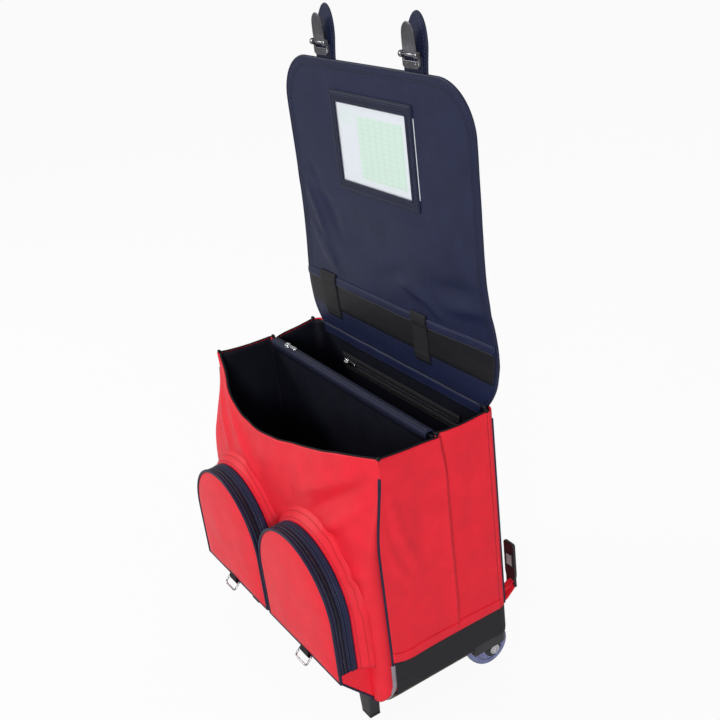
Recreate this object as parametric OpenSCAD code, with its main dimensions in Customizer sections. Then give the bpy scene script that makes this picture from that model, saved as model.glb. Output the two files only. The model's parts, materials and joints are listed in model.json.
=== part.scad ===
/* [Bag body] */
// Width of the bag across its side gussets
body_w = 410; // [360:5:460]
// Depth of the bag between its front and back corner seams
body_d = 186; // [160:2:220]
// Height of the rim above the floor
rim_z = 400; // [340:5:460]
// Height of the underside above the floor
bottom_z = 48; // [44:1:56]
// Height of the top edge of the black base band
band_z = 103; // [92:1:120]
// How far the front wall stands out beyond its corner seams
front_bulge = 27; // [20:1:34]
// How far the front rim sags at its lowest point
rim_sag = 38; // [20:1:50]
// Thickness of a padded wall
wall_t = 3; // [2:0.5:4]
// Thickness of the lining cloth
lining_t = 0.8; // [0.5:0.1:1.2]
// Thickness of the base floor
floor_t = 3; // [2:0.5:4]
// Thickness of the loose base board
board_t = 3; // [2:0.5:4]
// Distance of the divider behind the middle of the depth
divider_y = 6; // [-10:1:20]
// Thickness of the divider
divider_t = 4; // [3:0.5:6]

/* [Front pockets] */
// Radius of a pocket's arched top
pocket_r = 92; // [76:0.5:96]
// Gap between the two pockets
pocket_gap = 6; // [5:1:20]
// Height of the arch centre above the floor
pocket_z = 184; // [160:1:200]
// How far a pocket stands out of the front wall
pocket_depth = 40; // [26:1:44]
// Height of the lower edge of a pocket's face
pocket_face_z = 101; // [84:1:110]
// Height where the zip band ends and the red gusset starts
pocket_zip_z = 112; // [106:1:125]
// Thickness of a pocket's walls
pocket_t = 3; // [2:0.5:4]

/* [Zips] */
// Width of a zip's row of teeth
rib_w = 4; // [3:0.5:6]
// Height of a zip's row of teeth
rib_h = 1.5; // [1:0.1:2.5]
// Length of a zip slider
slider_l = 11; // [8:0.5:14]
// Width of a zip slider
slider_w = 8.5; // [8.5:0.5:12]
// Height of a zip slider
slider_h = 4.6; // [4:0.2:6]
// Length of a zip puller
puller_l = 20; // [12:1:30]
// Distance of the inner back zip below the rim
back_zip_drop = 48; // [40:1:100]

/* [Flap] */
// Length of the flap from its hinge to its free edge
flap_l = 386; // [340:1:420]
// Distance of the fold line from the hinge
fold_s = 213; // [200:1:240]
// Radius of the flap's free corners
flap_corner_r = 60; // [30:1:80]
// Thickness of the flap
flap_t = 3; // [2:0.5:4]
// Radius of the sewn roll at the hinge
roll_r = 5; // [4:0.5:6]
// Outer width of the card window
window_w = 180; // [140:1:220]
// Outer height of the card window
window_h = 129; // [90:1:140]
// Width of the window's frame
window_border = 12; // [8:1:18]
// Sideways place of the card window
window_x = 0; // [-30:1:30]
// Height of the window's middle above the hinge
window_s = 284; // [281:1:290]

/* [Straps and clasps] */
// Sideways place of the two straps
strap_x = 98; // [90:1:110]
// Width of a strap
strap_w = 42; // [30:1:46]
// Distance of a strap's tip from the hinge
strap_tip_s = 452; // [440:1:470]
// Width of a clasp
clasp_w = 36; // [28:1:40]
// Distance of the clasp's pin from the hinge
clasp_s = 408; // [404:1:420]
// Length of the clasp's lever
lever_l = 36; // [28:1:40]
// Wire radius of the catch loops
wire_r = 1.3; // [1:0.1:2]
// Sideways place of the catch loops
loop_x = 102; // [80:1:110]
// Width of a catch loop
loop_w = 30; // [26:1:36]
// Reach of a catch loop from its pivot
loop_l = 13; // [10:1:18]

/* [Wheels and feet] */
// Radius of a wheel
wheel_r = 32; // [28:1:34]
// Width of a wheel
wheel_w = 24; // [18:1:26]
// Distance of a wheel's middle from the bag's middle
wheel_x = 177; // [150:1:178]
// Distance of the axles behind the middle of the depth
wheel_y = 72; // [62:1:76]
// Radius of the axle bolts
axle_r = 4; // [3:0.5:5]
// Outer radius of the ball bearings
bearing_r = 11; // [9:0.5:13]
// Width of a ball bearing
bearing_w = 7; // [5:0.5:8]
// Radius of the wheel's hub
hub_r = 20; // [16:1:24]
// Thickness of the fork arms beside the wheel
fork_t = 6; // [4:0.5:7]
// Sideways place of the front feet
foot_x = 156; // [120:1:165]
// Distance of the front feet before the middle of the depth
foot_y = 107; // [96:1:107]
// Width of a front foot at the floor
foot_w = 20; // [16:1:26]
// Thickness of the rubber foot pads
pad_t = 4; // [3:0.5:6]

/* [Pull handle] */
// Distance between the two columns of tubes
tube_gauge = 120; // [100:2:140]
// Outer radius of the fixed sleeves
sleeve_r = 8; // [7.5:0.1:9]
// Wall thickness of all handle tubes
tube_t = 0.9; // [0.8:0.1:1.2]
// Running clearance between one tube and the next
tube_fit = 0.1; // [0.05:0.05:0.1]
// Gap between the bag's back and the sleeves
sleeve_gap = 4; // [3:0.5:6]
// Radius of the grip bar
grip_r = 9; // [8:0.5:11]
// Height of the finger gap under the grip bar
finger_gap = 16; // [10:1:30]
// Travel of the release button
button_travel = 3; // [2:0.5:4]

/* [Strap clips] */
// Sideways place of the strap clips
clip_x = 196; // [170:1:198]
// Distance of the clip's pin behind the bag's back
clip_reach = 17; // [15:1:20]
// Height of the clip's pin above the floor
clip_z = 124; // [118:1:150]
// Width of a strap clip
clip_w = 20; // [18:1:30]
// Length of a strap clip above its pin
clip_l = 66; // [60:1:80]
// Thickness of a strap clip
clip_t = 5; // [4:0.5:7]

/* [Hidden] */
$fn = 48;
eps = 0.01;
far = 600; // longer than any piece, for cutting

// Fits between pieces
rest_gap = 0.3; // soft pieces on different bodies
ride_gap = 0.3; // a zip slider over its teeth
pin_fit = 0.05; // a pin in its bore

// Body
half_w = body_w / 2;
front_y = -body_d / 2;
back_y = body_d / 2;
back_corner_r = 14;
seam_y = front_y + 6; // front panel meets the gussets here
back_seam_y = back_y - back_corner_r;
board_z = bottom_z + floor_t;
lining_z = board_z + board_t;
lining_in = wall_t + lining_t; // inset of the inner face of the lining
wall_front_y = front_y - front_bulge;
lining_top_z = rim_z - 1;
inner_back_y = back_y - lining_in;
squareness = 0.4; // power of the front wall's curve in plan
sag_x = -12; // the rim hangs lowest here
sag_half = half_w - 14;
sag_r = (sag_half * sag_half + rim_sag * rim_sag) / (2 * rim_sag);

// Zips
tape_t = 0.8;
divider_top_z = rim_z - 6;
divider_tape_w = 12;
divider_tape_t = 3;
divider_zip_l = body_w - 30;
divider_slider_x = -150;
back_zip_l = body_w - 130;
back_zip_w = 24;
back_zip_z = rim_z - back_zip_drop;
back_zip_end = 4; // length of tape beyond the teeth
back_slider_x = -back_zip_l / 2 + 12;
puller_w = 6;
puller_t = 1.4;
puller_hole_r = 1.8;
groove_r = 1.4; // round groove across the top of a slider
slider_deg = 60; // rest place of a pocket slider, left of the arch's top

// Pockets
pocket_x = pocket_r + pocket_gap / 2;
face_y = wall_front_y - pocket_depth;
pocket_inner_r = pocket_r - pocket_t;
tape_margin = 7; // from the face's edge to the middle of the teeth
pocket_rib_y = face_y + pocket_t + tape_margin;

// Catch loops
loop_deg = 45; // a loop hangs this far below level
loop_y = face_y - 1.6;
loop_z = pocket_face_z - 3.4;
barrel_r = wire_r + 1.2;
tab_x0 = loop_x - loop_w / 2 + 4;
tab_x1 = loop_x + loop_w / 2 - 4;
tab_rise = 12; // a loop tab's height above its barrel
tab_face_t = 1.2;

// Flap
hinge_y = back_y - 3.5;
hinge_z = rim_z + rest_gap + roll_r;
flap_in = 1.5; // inner face of the flap behind the hinge axis
flap_out = flap_in + flap_t;
fold_gap = rest_gap; // half the slit between the flap's two halves
flap_w = body_w - 4;
card_t = 0.4;
film_t = 0.5;
frame_t = 2;
mesh_t = 1.2;
mesh_low_s = 22;
mesh_high_s = 78;
webbing_t = 1.5;
webbing_low_s = 15;
webbing_high_s = 74;
webbing_left = [-168, -130];
webbing_right = [49, 81];
window_u = [window_x - window_w / 2, window_x + window_w / 2];
window_v = [window_s - window_h / 2, window_s + window_h / 2];
clear_u = [window_u[0] + window_border, window_u[1] - window_border];
clear_v = [window_v[0] + window_border, window_v[1] - window_border];

// Straps: an under tab that carries the clasp, and the tongue over it
tab_t = 1.6;
tongue_t = 2.4;
strap_low_s = 320;
tab_low_s = 340;
clasp_base_h = 16;
clasp_front = 5; // how far the clasp stands in front of the tab
clasp_a = flap_out - clasp_front;
clasp_pin_a = clasp_a + 0.5;
clasp_pin_r = 1.2;
ear_w = 4;
lever_half = clasp_w / 2 - ear_w - 0.4;
lever_flat = lever_l - lever_half; // where the lever's round end starts
rivet_r = 2;

// Wheels
fork_gap = wheel_w / 2 + 0.5;
well_r = wheel_r + 3;
housing_top_z = wheel_r * 2 + 6;
housing_y0 = wheel_y - well_r - 3;
housing_x0 = wheel_x - fork_gap - fork_t;
arm_r = 13;
axle_x0 = housing_x0;
axle_x1 = wheel_x + fork_gap + fork_t;
bolt_head_r = 7;
bolt_head_t = 3.5;
nut_t = 5;
hub_half = wheel_w / 2 - 2; // the hub ends short of the tyre's sides
plate_t = 4;
screw_head_r = 3.5;
screw_head_t = 2.2;

// Front feet
foot_d = 16;
foot_flange_t = 3;
foot_flange_w = 8; // how far the flange reaches past the foot
foot_flare = 4;

// Handle
tube_x = tube_gauge / 2;
tube_y = back_y + sleeve_gap + sleeve_r;
middle_r = sleeve_r - tube_t - tube_fit;
inner_r = middle_r - tube_t - tube_fit;
bracket_z = [bottom_z + 6, bottom_z + 30];
collar_z = [rim_z - 20, rim_z - 4];
block_w = tube_gauge + 2 * sleeve_r + 16;
block_y1 = tube_y + sleeve_r + 1;
grip_foot_z = collar_z[1] + 1;
grip_z = grip_foot_z + finger_gap + grip_r;
grip_leg_r = sleeve_r + 2;
tube_socket = 10; // how far the inner tubes reach into the grip
bracket_floor_t = 4;
button_l = 28;
button_w = 10;
button_rise = 3.6;
button_t = 8;
button_low_z = grip_z + grip_r + button_rise - button_t;
spring_h = 6;
spring_r = 3;
spring_wire = 0.8;

// Strap clips
clip_y = back_y + clip_reach;
clip_pin_r = 1.6;
clip_barrel_r = clip_pin_r + 1.6;
clip_tab_half = clip_w / 2 - 3;
clip_foot = 3.5; // the clip's length below its pin
clip_window_z = [30, 46];

// The whole part is centred on its depth
depth_low = loop_y - loop_l * cos(loop_deg) - wire_r;
depth_high = max(clip_y + clip_t / 2, tube_y + grip_leg_r);
y_shift = -(depth_low + depth_high) / 2;

module placed() {
    translate([0, y_shift, 0]) children();
}

module box(low, high) {
    translate(low) cube(high - low);
}

module rod_x(x0, x1, y, z, r, sides = 48) {
    translate([x0, y, z]) rotate([0, 90, 0]) cylinder(h = x1 - x0, r = r, $fn = sides);
}

module rod_y(y0, y1, x, z, r, sides = 48) {
    translate([x, y1, z]) rotate([90, 0, 0]) cylinder(h = y1 - y0, r = r, $fn = sides);
}

module rod_z(z0, z1, x, y, r, sides = 48) {
    translate([x, y, z0]) cylinder(h = z1 - z0, r = r, $fn = sides);
}

module both_sides() {
    children();
    mirror([1, 0, 0]) children();
}

// Plan of the bag: rounded back corners and a front wall that bows out
function arc(x, y, r, a0, a1, n) = [
    for (i = [0:n]) let (a = a0 + (a1 - a0) * i / n) [x + r * cos(a), y + r * sin(a)]
];
function signed_pow(v, p) = sign(v) * pow(abs(v), p);
function body_plan(inset) = let (
    w = half_w - inset,
    r = back_corner_r - inset,
    back = back_y - back_corner_r
) concat(
    arc(half_w - back_corner_r, back, r, 0, 90, 6),
    arc(back_corner_r - half_w, back, r, 90, 180, 6),
    [for (i = [0:24]) let (a = 180 + 180 * i / 24)
        [w * signed_pow(cos(a), squareness),
             front_y + inset + front_bulge * signed_pow(sin(a), squareness)]]
);

module body_prism(inset, z0, z1) {
    translate([0, 0, z0]) linear_extrude(height = z1 - z0) polygon(body_plan(inset));
}

module body_shell(z0, z1, inner_z) {
    difference() {
        body_prism(0, z0, z1);
        body_prism(wall_t, inner_z, z1 + 1);
    }
}

// A shallow arc that lets the front rim hang lower in its middle
module rim_cut() {
    rod_y(wall_front_y - 1, seam_y, sag_x, rim_z - rim_sag + sag_r, sag_r, 180);
}

module housing_space() {
    both_sides() box([housing_x0, housing_y0, -1], [far, far, housing_top_z]);
}

module front_panel() color("crimson") placed() difference() {
    body_shell(bottom_z, rim_z, bottom_z + floor_t);
    box([-far, seam_y, -far], [far, far, far]);
    rim_cut();
}

module gusset(side) color("crimson") placed() difference() {
    body_shell(band_z, rim_z, band_z - 1);
    box([-far, -far, -far], [far, seam_y, far]);
    box([-far, back_seam_y, -far], [far, far, far]);
    box([side > 0 ? -far : 0, -far, -far], [side > 0 ? 0 : far, far, far]);
}
module gusset_left() gusset(-1);
module gusset_right() gusset(1);

module back_panel() color("crimson") placed() difference() {
    body_shell(band_z, rim_z, band_z - 1);
    box([-far, -far, -far], [far, back_seam_y, far]);
}

module base_cover() color("#2d2d32") placed() difference() {
    body_shell(bottom_z, band_z, bottom_z + floor_t);
    box([-far, -far, -far], [far, seam_y, far]);
    housing_space();
}

module base_board() color("#4a4038") placed() difference() {
    body_prism(wall_t, board_z, lining_z);
    housing_space();
}

module lining() color("#0a0a10") placed() difference() {
    body_prism(wall_t, lining_z, lining_top_z);
    body_prism(lining_in, lining_z + lining_t, rim_z);
    housing_space();
    rim_cut();
}

// Divider, with a zip along its top
module divider() color("#12121a") placed() difference() {
    box([-half_w + lining_in, divider_y - divider_t / 2, lining_z + lining_t],
        [half_w - lining_in, divider_y + divider_t / 2, divider_top_z]);
    housing_space();
}

module divider_zip() color("#1b2747") placed() {
    box([-divider_zip_l / 2, divider_y - divider_tape_w / 2, divider_top_z],
        [divider_zip_l / 2, divider_y + divider_tape_w / 2, divider_top_z + divider_tape_t]);
    translate([-divider_zip_l / 2, divider_y, divider_top_z + divider_tape_t]) zip_teeth(divider_zip_l);
}

// A straight row of teeth from the origin along +X, standing on the plane z = 0
module zip_teeth(length) {
    translate([0, -rib_w / 2, -eps]) cube([length, rib_w, rib_h + eps]);
}

// A slider at the origin over teeth along X, its puller lying towards +X
module zip_slider() {
    difference() {
        translate([-slider_l / 2, -slider_w / 2, ride_gap]) cube([slider_l, slider_w, slider_h]);
        translate([-slider_l, -rib_w / 2 - ride_gap, 0])
            cube([2 * slider_l, rib_w + 2 * ride_gap, rib_h + ride_gap]);
        translate([0, 0, ride_gap + slider_h]) rotate([90, 0, 0])
            cylinder(h = 2 * slider_w, r = groove_r, center = true);
    }
    difference() {
        translate([slider_l / 2 - 2, -puller_w / 2, rib_h + ride_gap + 0.2])
            cube([puller_l, puller_w, puller_t]);
        translate([slider_l / 2 - 2 + puller_l - 5, 0, 0]) cylinder(h = 2 * slider_h, r = puller_hole_r);
    }
}

module divider_slider() color("silver") placed()
    translate([divider_slider_x, divider_y, divider_top_z + divider_tape_t]) zip_slider();

module on_back_wall(x) {
    translate([x, inner_back_y - tape_t, back_zip_z]) rotate([90, 0, 0]) children();
}

module back_pocket_zip() color("#1b2747") placed() {
    box([-back_zip_l / 2, inner_back_y - tape_t, back_zip_z - back_zip_w / 2],
        [back_zip_l / 2, inner_back_y, back_zip_z + back_zip_w / 2]);
    on_back_wall(-back_zip_l / 2 + back_zip_end) zip_teeth(back_zip_l - 2 * back_zip_end);
}

module back_pocket_slider() color("silver") placed()
    on_back_wall(back_slider_x) zip_slider();

// Front pockets: an arched band with a zip, closed by a red face
module arch(r, y0, y1, x) {
    rod_y(y0, y1, x, pocket_z, r, 96);
    box([x - r, y0, bottom_z], [x + r, y1, pocket_z]);
}

module pocket_profile(t) {
    rotate([90, 0, 90]) translate([0, 0, -far / 2]) linear_extrude(height = far)
        polygon([
            [front_y, pocket_z + pocket_r + 1],
            [face_y + t, pocket_z + pocket_r + 1],
            [face_y + t, pocket_face_z + t / 2],
            [wall_front_y + t, bottom_z + t],
            [front_y, bottom_z + t]
        ]);
}

module pocket_shell(x) {
    difference() {
        intersection() {
            arch(pocket_r, face_y, front_y, x);
            pocket_profile(0);
        }
        intersection() {
            arch(pocket_inner_r, face_y, front_y, x);
            pocket_profile(pocket_t);
        }
        body_prism(0, bottom_z - 1, rim_z);
    }
}

module zip_zone() {
    box([-far, face_y + pocket_t, pocket_zip_z], [far, far, rim_z]);
}

module pocket_panel(x) color("crimson") placed() difference() {
    pocket_shell(x);
    zip_zone();
}
module pocket_panel_left() pocket_panel(-pocket_x);
module pocket_panel_right() pocket_panel(pocket_x);

module pocket_zip(x) color("#1b2747") placed() {
    intersection() {
        pocket_shell(x);
        zip_zone();
    }
    difference() {
        rod_y(pocket_rib_y - rib_w / 2, pocket_rib_y + rib_w / 2, x, pocket_z, pocket_r + rib_h, 96);
        rod_y(pocket_rib_y - rib_w, pocket_rib_y + rib_w, x, pocket_z, pocket_r - 1, 96);
        box([-far, -far, 0], [far, far, pocket_z]);
    }
}
module pocket_zip_left() pocket_zip(-pocket_x);
module pocket_zip_right() pocket_zip(pocket_x);

module pocket_slider(x) color("silver") placed()
    translate([x, pocket_rib_y, pocket_z]) rotate([0, -slider_deg, 0])
        translate([0, 0, pocket_r]) rotate([0, 0, 180]) zip_slider();
module pocket_slider_left() pocket_slider(-pocket_x);
module pocket_slider_right() pocket_slider(pocket_x);

// Webbing tabs that hold the catch loops under the pockets' faces
module loop_tabs() color("#15151a") placed() both_sides() difference() {
    union() {
        box([tab_x0, face_y - tab_face_t, loop_z - barrel_r + 0.4], [tab_x1, face_y, loop_z + tab_rise]);
        rod_x(tab_x0, tab_x1, loop_y, loop_z, barrel_r);
    }
    rod_x(0, half_w, loop_y, loop_z, wire_r + pin_fit);
}

module wire_loop(side) color("silver") placed()
    translate([side * loop_x, loop_y, loop_z]) rotate([loop_deg, 0, 0]) {
        rod_x(-loop_w / 2, loop_w / 2, 0, 0, wire_r);
        rod_x(-loop_w / 2, loop_w / 2, -loop_l, 0, wire_r);
        for (x = [-1, 1])
            rod_y(-loop_l, 0, x * (loop_w / 2 - wire_r), 0, wire_r - 0.1);
    }
module wire_loop_left() wire_loop(-1);
module wire_loop_right() wire_loop(1);

// Running gear
module chassis_plate() color("#1e1e22") placed()
    box([-housing_x0, housing_y0, bottom_z - plate_t], [housing_x0, back_y - 2, bottom_z]);

module wheel_housing(side) color("#232328") placed() mirror([side < 0 ? 1 : 0, 0, 0])
    difference() {
        union() {
            intersection() {
                body_prism(0, bottom_z - plate_t, housing_top_z);
                box([housing_x0, housing_y0, 0], [far, far, housing_top_z]);
            }
            for (x = [housing_x0, wheel_x + fork_gap]) {
                rod_x(x, x + fork_t, wheel_y, wheel_r, arm_r);
                box([x, wheel_y - arm_r, wheel_r], [x + fork_t, wheel_y + arm_r, bottom_z]);
            }
        }
        rod_x(wheel_x - fork_gap, wheel_x + fork_gap, wheel_y, wheel_r, well_r);
        box([wheel_x - fork_gap, wheel_y, wheel_r], [wheel_x + fork_gap, far, wheel_r + well_r]);
        box([wheel_x - fork_gap, wheel_y - well_r, 0], [wheel_x + fork_gap, far, wheel_r]);
        rod_x(0, far, wheel_y, wheel_r, axle_r + pin_fit);
    }
module wheel_housing_left() wheel_housing(-1);
module wheel_housing_right() wheel_housing(1);

module wheel_axles() color("silver") placed() both_sides() {
    rod_x(axle_x0 - nut_t - 1, axle_x1 + 1, wheel_y, wheel_r, axle_r);
    rod_x(axle_x1, axle_x1 + bolt_head_t, wheel_y, wheel_r, bolt_head_r);
    rod_x(axle_x0 - nut_t, axle_x0, wheel_y, wheel_r, bolt_head_r, 6);
}

module wheel_tyre(side) color("#6a5cc0") placed() mirror([side < 0 ? 1 : 0, 0, 0])
    translate([wheel_x, wheel_y, wheel_r]) rotate([0, 90, 0]) rotate_extrude($fn = 96)
        polygon(concat(
            [[hub_r, -hub_half], [wheel_r - 8, -wheel_w / 2]],
            [for (i = [0:8]) let (a = -90 + 180 * i / 8)
                [wheel_r - 6 + 6 * cos(a), (wheel_w / 2 - 1) * sin(a)]],
            [[wheel_r - 8, wheel_w / 2], [hub_r, hub_half]]));
module wheel_tyre_left() wheel_tyre(-1);
module wheel_tyre_right() wheel_tyre(1);

module wheel_hub(side) color("#c8c8d0") placed() mirror([side < 0 ? 1 : 0, 0, 0])
    difference() {
        rod_x(wheel_x - hub_half, wheel_x + hub_half, wheel_y, wheel_r, hub_r, 96);
        for (x = [wheel_x - hub_half - 1, wheel_x + hub_half - bearing_w])
            rod_x(x, x + bearing_w + 1, wheel_y, wheel_r, bearing_r);
        rod_x(0, far, wheel_y, wheel_r, axle_r + 2);
    }
module wheel_hub_left() wheel_hub(-1);
module wheel_hub_right() wheel_hub(1);

module wheel_bearings(side) color("silver") placed() mirror([side < 0 ? 1 : 0, 0, 0])
    for (x = [wheel_x - hub_half, wheel_x + hub_half - bearing_w])
        difference() {
            rod_x(x, x + bearing_w, wheel_y, wheel_r, bearing_r);
            rod_x(x - 1, x + bearing_w + 1, wheel_y, wheel_r, axle_r + pin_fit);
        }
module wheel_bearings_left() wheel_bearings(-1);
module wheel_bearings_right() wheel_bearings(1);

module front_feet() color("#17171b") placed() both_sides() translate([foot_x, -foot_y, 0]) {
    translate([0, foot_d / 2, 0]) rotate([90, 0, 0]) linear_extrude(height = foot_d)
        polygon([
            [-foot_w / 2, pad_t], [foot_w / 2, pad_t],
            [foot_w / 2 + foot_flare, bottom_z - foot_flange_t],
            [-foot_w / 2 - foot_flare, bottom_z - foot_flange_t]
        ]);
    box([-foot_w / 2 - foot_flange_w, -foot_d / 2, bottom_z - foot_flange_t - eps],
        [foot_w / 2 + foot_flange_w, foot_d / 2 + 6, bottom_z]);
}

module foot_pads() color("#0e0e10") placed() both_sides()
    box([foot_x - foot_w / 2, -foot_y - foot_d / 2, 0],
        [foot_x + foot_w / 2, -foot_y + foot_d / 2, pad_t]);

// Screws through the chassis plate, with their heads below it
module chassis_screws() color("#8a8a90") placed()
    for (x = [-110, -40, 40, 110], y = [housing_y0 + 14, back_y - 16])
        rod_z(bottom_z - plate_t - screw_head_t, bottom_z - plate_t, x, y, screw_head_r);

// Pull handle: sleeves, a middle stage and an inner stage on each side
module tube(r, z0, z1) {
    both_sides() difference() {
        rod_z(z0, z1, tube_x, tube_y, r);
        rod_z(z0 - 1, z1 + 1, tube_x, tube_y, r - tube_t);
    }
}

module handle_block(z) {
    difference() {
        box([-block_w / 2, back_y, z[0]], [block_w / 2, block_y1, z[1]]);
        both_sides() rod_z(z[0] - 1, z[1] + 1, tube_x, tube_y, sleeve_r);
    }
}

module handle_sleeves() color("silver") placed() tube(sleeve_r, bracket_z[0] + bracket_floor_t, collar_z[1]);
module handle_bracket() color("#1e1e22") placed() {
    handle_block([bracket_z[0] + bracket_floor_t, bracket_z[1]]);
    box([-block_w / 2, back_y, bracket_z[0]], [block_w / 2, block_y1, bracket_z[0] + bracket_floor_t]);
}
module handle_collar() color("#1e1e22") placed() handle_block(collar_z);
module middle_tubes() color("silver") placed() tube(middle_r, bracket_z[0] + bracket_floor_t + 2, collar_z[1] - 1);
module inner_tubes() color("silver") placed()
    tube(inner_r, bracket_z[0] + bracket_floor_t + 4, grip_foot_z + tube_socket);

module handle_grip() color("#1a1a1e") placed() difference() {
    union() {
        rod_x(-tube_x - grip_leg_r, tube_x + grip_leg_r, tube_y, grip_z, grip_r);
        both_sides() rod_z(grip_foot_z, grip_z, tube_x, tube_y, grip_leg_r);
    }
    both_sides() rod_z(grip_foot_z - 1, grip_foot_z + tube_socket, tube_x, tube_y, inner_r);
    box([-button_l / 2 - ride_gap, tube_y - button_w / 2 - ride_gap, button_low_z - spring_h],
        [button_l / 2 + ride_gap, tube_y + button_w / 2 + ride_gap, grip_z + grip_r + 1]);
}

module grip_button() color("#3a3a42") placed()
    box([-button_l / 2, tube_y - button_w / 2, button_low_z],
        [button_l / 2, tube_y + button_w / 2, button_low_z + button_t]);

module button_spring() color("silver") placed() difference() {
    rod_z(button_low_z - spring_h, button_low_z, 0, tube_y, spring_r);
    rod_z(button_low_z - spring_h - 1, button_low_z + 1, 0, tube_y, spring_r - spring_wire);
}

// Strap clips on fabric tabs at the bottom back corners
module clip_tabs() color("crimson") placed() both_sides() difference() {
    union() {
        translate([clip_x - clip_tab_half, 0, 0]) rotate([90, 0, 90])
            linear_extrude(height = 2 * clip_tab_half) polygon([
                [back_seam_y, band_z + 1],
                [back_y + 4, band_z + 1],
                [clip_y + clip_barrel_r * 0.6, clip_z - clip_barrel_r * 0.8],
                [clip_y - clip_barrel_r * 0.8, clip_z + clip_barrel_r * 0.5],
                [back_seam_y, band_z + 14]
            ]);
        rod_x(clip_x - clip_tab_half, clip_x + clip_tab_half, clip_y, clip_z, clip_barrel_r);
    }
    rod_x(0, far, clip_y, clip_z, clip_pin_r + pin_fit);
    body_prism(0, band_z - 1, rim_z);
}

module strap_clip(side) color("#1a1a1e") placed() translate([side * clip_x, clip_y, clip_z]) {
    difference() {
        box([-clip_w / 2, -clip_t / 2, -clip_foot], [clip_w / 2, clip_t / 2, clip_l]);
        box([-clip_w / 2 + 2.5, -clip_t, -4], [clip_w / 2 - 2.5, clip_t, 8]);
        box([-clip_w / 2 + 4, -clip_t, clip_window_z[0]], [clip_w / 2 - 4, clip_t, clip_window_z[1]]);
        rod_x(-clip_w, clip_w, 0, 0, clip_pin_r - 0.2);
    }
    rod_x(-clip_w / 2, clip_w / 2, 0, 0, clip_pin_r);
}
module strap_clip_left() strap_clip(-1);
module strap_clip_right() strap_clip(1);

// Flap: u is across, s is up from the hinge, a is behind the hinge axis
module on_flap() {
    translate([0, hinge_y, hinge_z]) children();
}

module flap_slab(u, s, a) {
    on_flap() box([u[0], a[0], s[0]], [u[1], a[1], s[1]]);
}

module flap_shape(points, a) {
    on_flap() translate([0, a[1], 0]) rotate([90, 0, 0])
        linear_extrude(height = a[1] - a[0]) polygon(points);
}

module flap_lower() color("#2a2f4e") placed() {
    flap_slab([-flap_w / 2, flap_w / 2], [0, fold_s - fold_gap], [flap_in, flap_out]);
    on_flap() rod_x(-flap_w / 2, flap_w / 2, 0, 0, roll_r);
}

module flap_upper() color("#2a2f4e") placed()
    flap_shape(concat(
        [[-flap_w / 2, fold_s + fold_gap], [flap_w / 2, fold_s + fold_gap]],
        arc(flap_w / 2 - flap_corner_r, flap_l - flap_corner_r, flap_corner_r, 0, 90, 10),
        arc(flap_corner_r - flap_w / 2, flap_l - flap_corner_r, flap_corner_r, 90, 180, 10)),
        [flap_in, flap_out]);

module mesh_pocket() color("#14141c") placed()
    flap_slab([-flap_w / 2 + 2, flap_w / 2 - 2], [mesh_low_s, mesh_high_s], [flap_in - mesh_t, flap_in]);

module webbing_tabs() color("#0c0c10") placed()
    for (u = [webbing_left, webbing_right])
        flap_slab(u, [webbing_low_s, webbing_high_s],
            [flap_in - mesh_t - webbing_t, flap_in - mesh_t]);

module window_frame() color("#20253f") placed() difference() {
    flap_slab(window_u, window_v, [flap_in - frame_t, flap_in]);
    flap_slab(clear_u, clear_v, [flap_in - frame_t - 1, flap_in + 1]);
}

module window_film() color("#dfe6ea", 0.4) placed()
    flap_slab(clear_u, clear_v, [flap_in - card_t - film_t, flap_in - card_t]);

module timetable_card() color("white") placed()
    flap_slab(clear_u, clear_v, [flap_in - card_t, flap_in]);

module strap(side) color("#1e2340") placed() flap_shape(concat(
    [[side * strap_x - strap_w / 2, strap_low_s], [side * strap_x + strap_w / 2, strap_low_s]],
    [for (i = [0:12]) let (a = 180 * i / 12)
        [side * strap_x + strap_w / 2 * cos(a), strap_tip_s - strap_w * (1 - sin(a))]]),
    [flap_out + tab_t, flap_out + tab_t + tongue_t]);
module strap_left() strap(-1);
module strap_right() strap(1);

module clasp_tabs() color("#1e2340") placed()
    for (side = [-1, 1])
        flap_slab([side * strap_x - clasp_w / 2 + 1, side * strap_x + clasp_w / 2 - 1],
            [tab_low_s, clasp_s - 2], [flap_out, flap_out + tab_t]);

// Clasp: a folded base on the tab and a lever on a pin
module clasp_base(side) color("silver") placed() difference() {
    union() {
        flap_slab([side * strap_x - clasp_w / 2, side * strap_x + clasp_w / 2],
            [clasp_s - clasp_base_h, clasp_s - 3.4], [clasp_a + 1, flap_out]);
        for (x = [-clasp_w / 2, clasp_w / 2 - ear_w])
            flap_slab([side * strap_x + x, side * strap_x + x + ear_w],
                [clasp_s - clasp_base_h, clasp_s + 2.4], [clasp_a - 2, flap_out]);
        on_flap() rod_x(side * strap_x - clasp_w / 2 + 1, side * strap_x + clasp_w / 2 - 1,
            clasp_pin_a, clasp_s, clasp_pin_r);
    }
    on_flap() rod_y(clasp_a + 1.8, flap_out - 2, side * strap_x, clasp_s - 9, rivet_r);
}
module clasp_base_left() clasp_base(-1);
module clasp_base_right() clasp_base(1);

module clasp_lever(side) color("silver") placed() difference() {
    union() {
        on_flap() rod_x(side * strap_x - lever_half, side * strap_x + lever_half,
            clasp_pin_a, clasp_s, 2.6);
        flap_slab([side * strap_x - lever_half, side * strap_x + lever_half],
            [clasp_s, clasp_s + lever_flat], [clasp_a - 1.2, clasp_a + 1.4]);
        on_flap() rod_y(clasp_a - 1.2, clasp_a + 1.4, side * strap_x, clasp_s + lever_flat, lever_half);
    }
    on_flap() rod_x(-half_w, half_w, clasp_pin_a, clasp_s, clasp_pin_r + pin_fit);
}
module clasp_lever_left() clasp_lever(-1);
module clasp_lever_right() clasp_lever(1);

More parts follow.
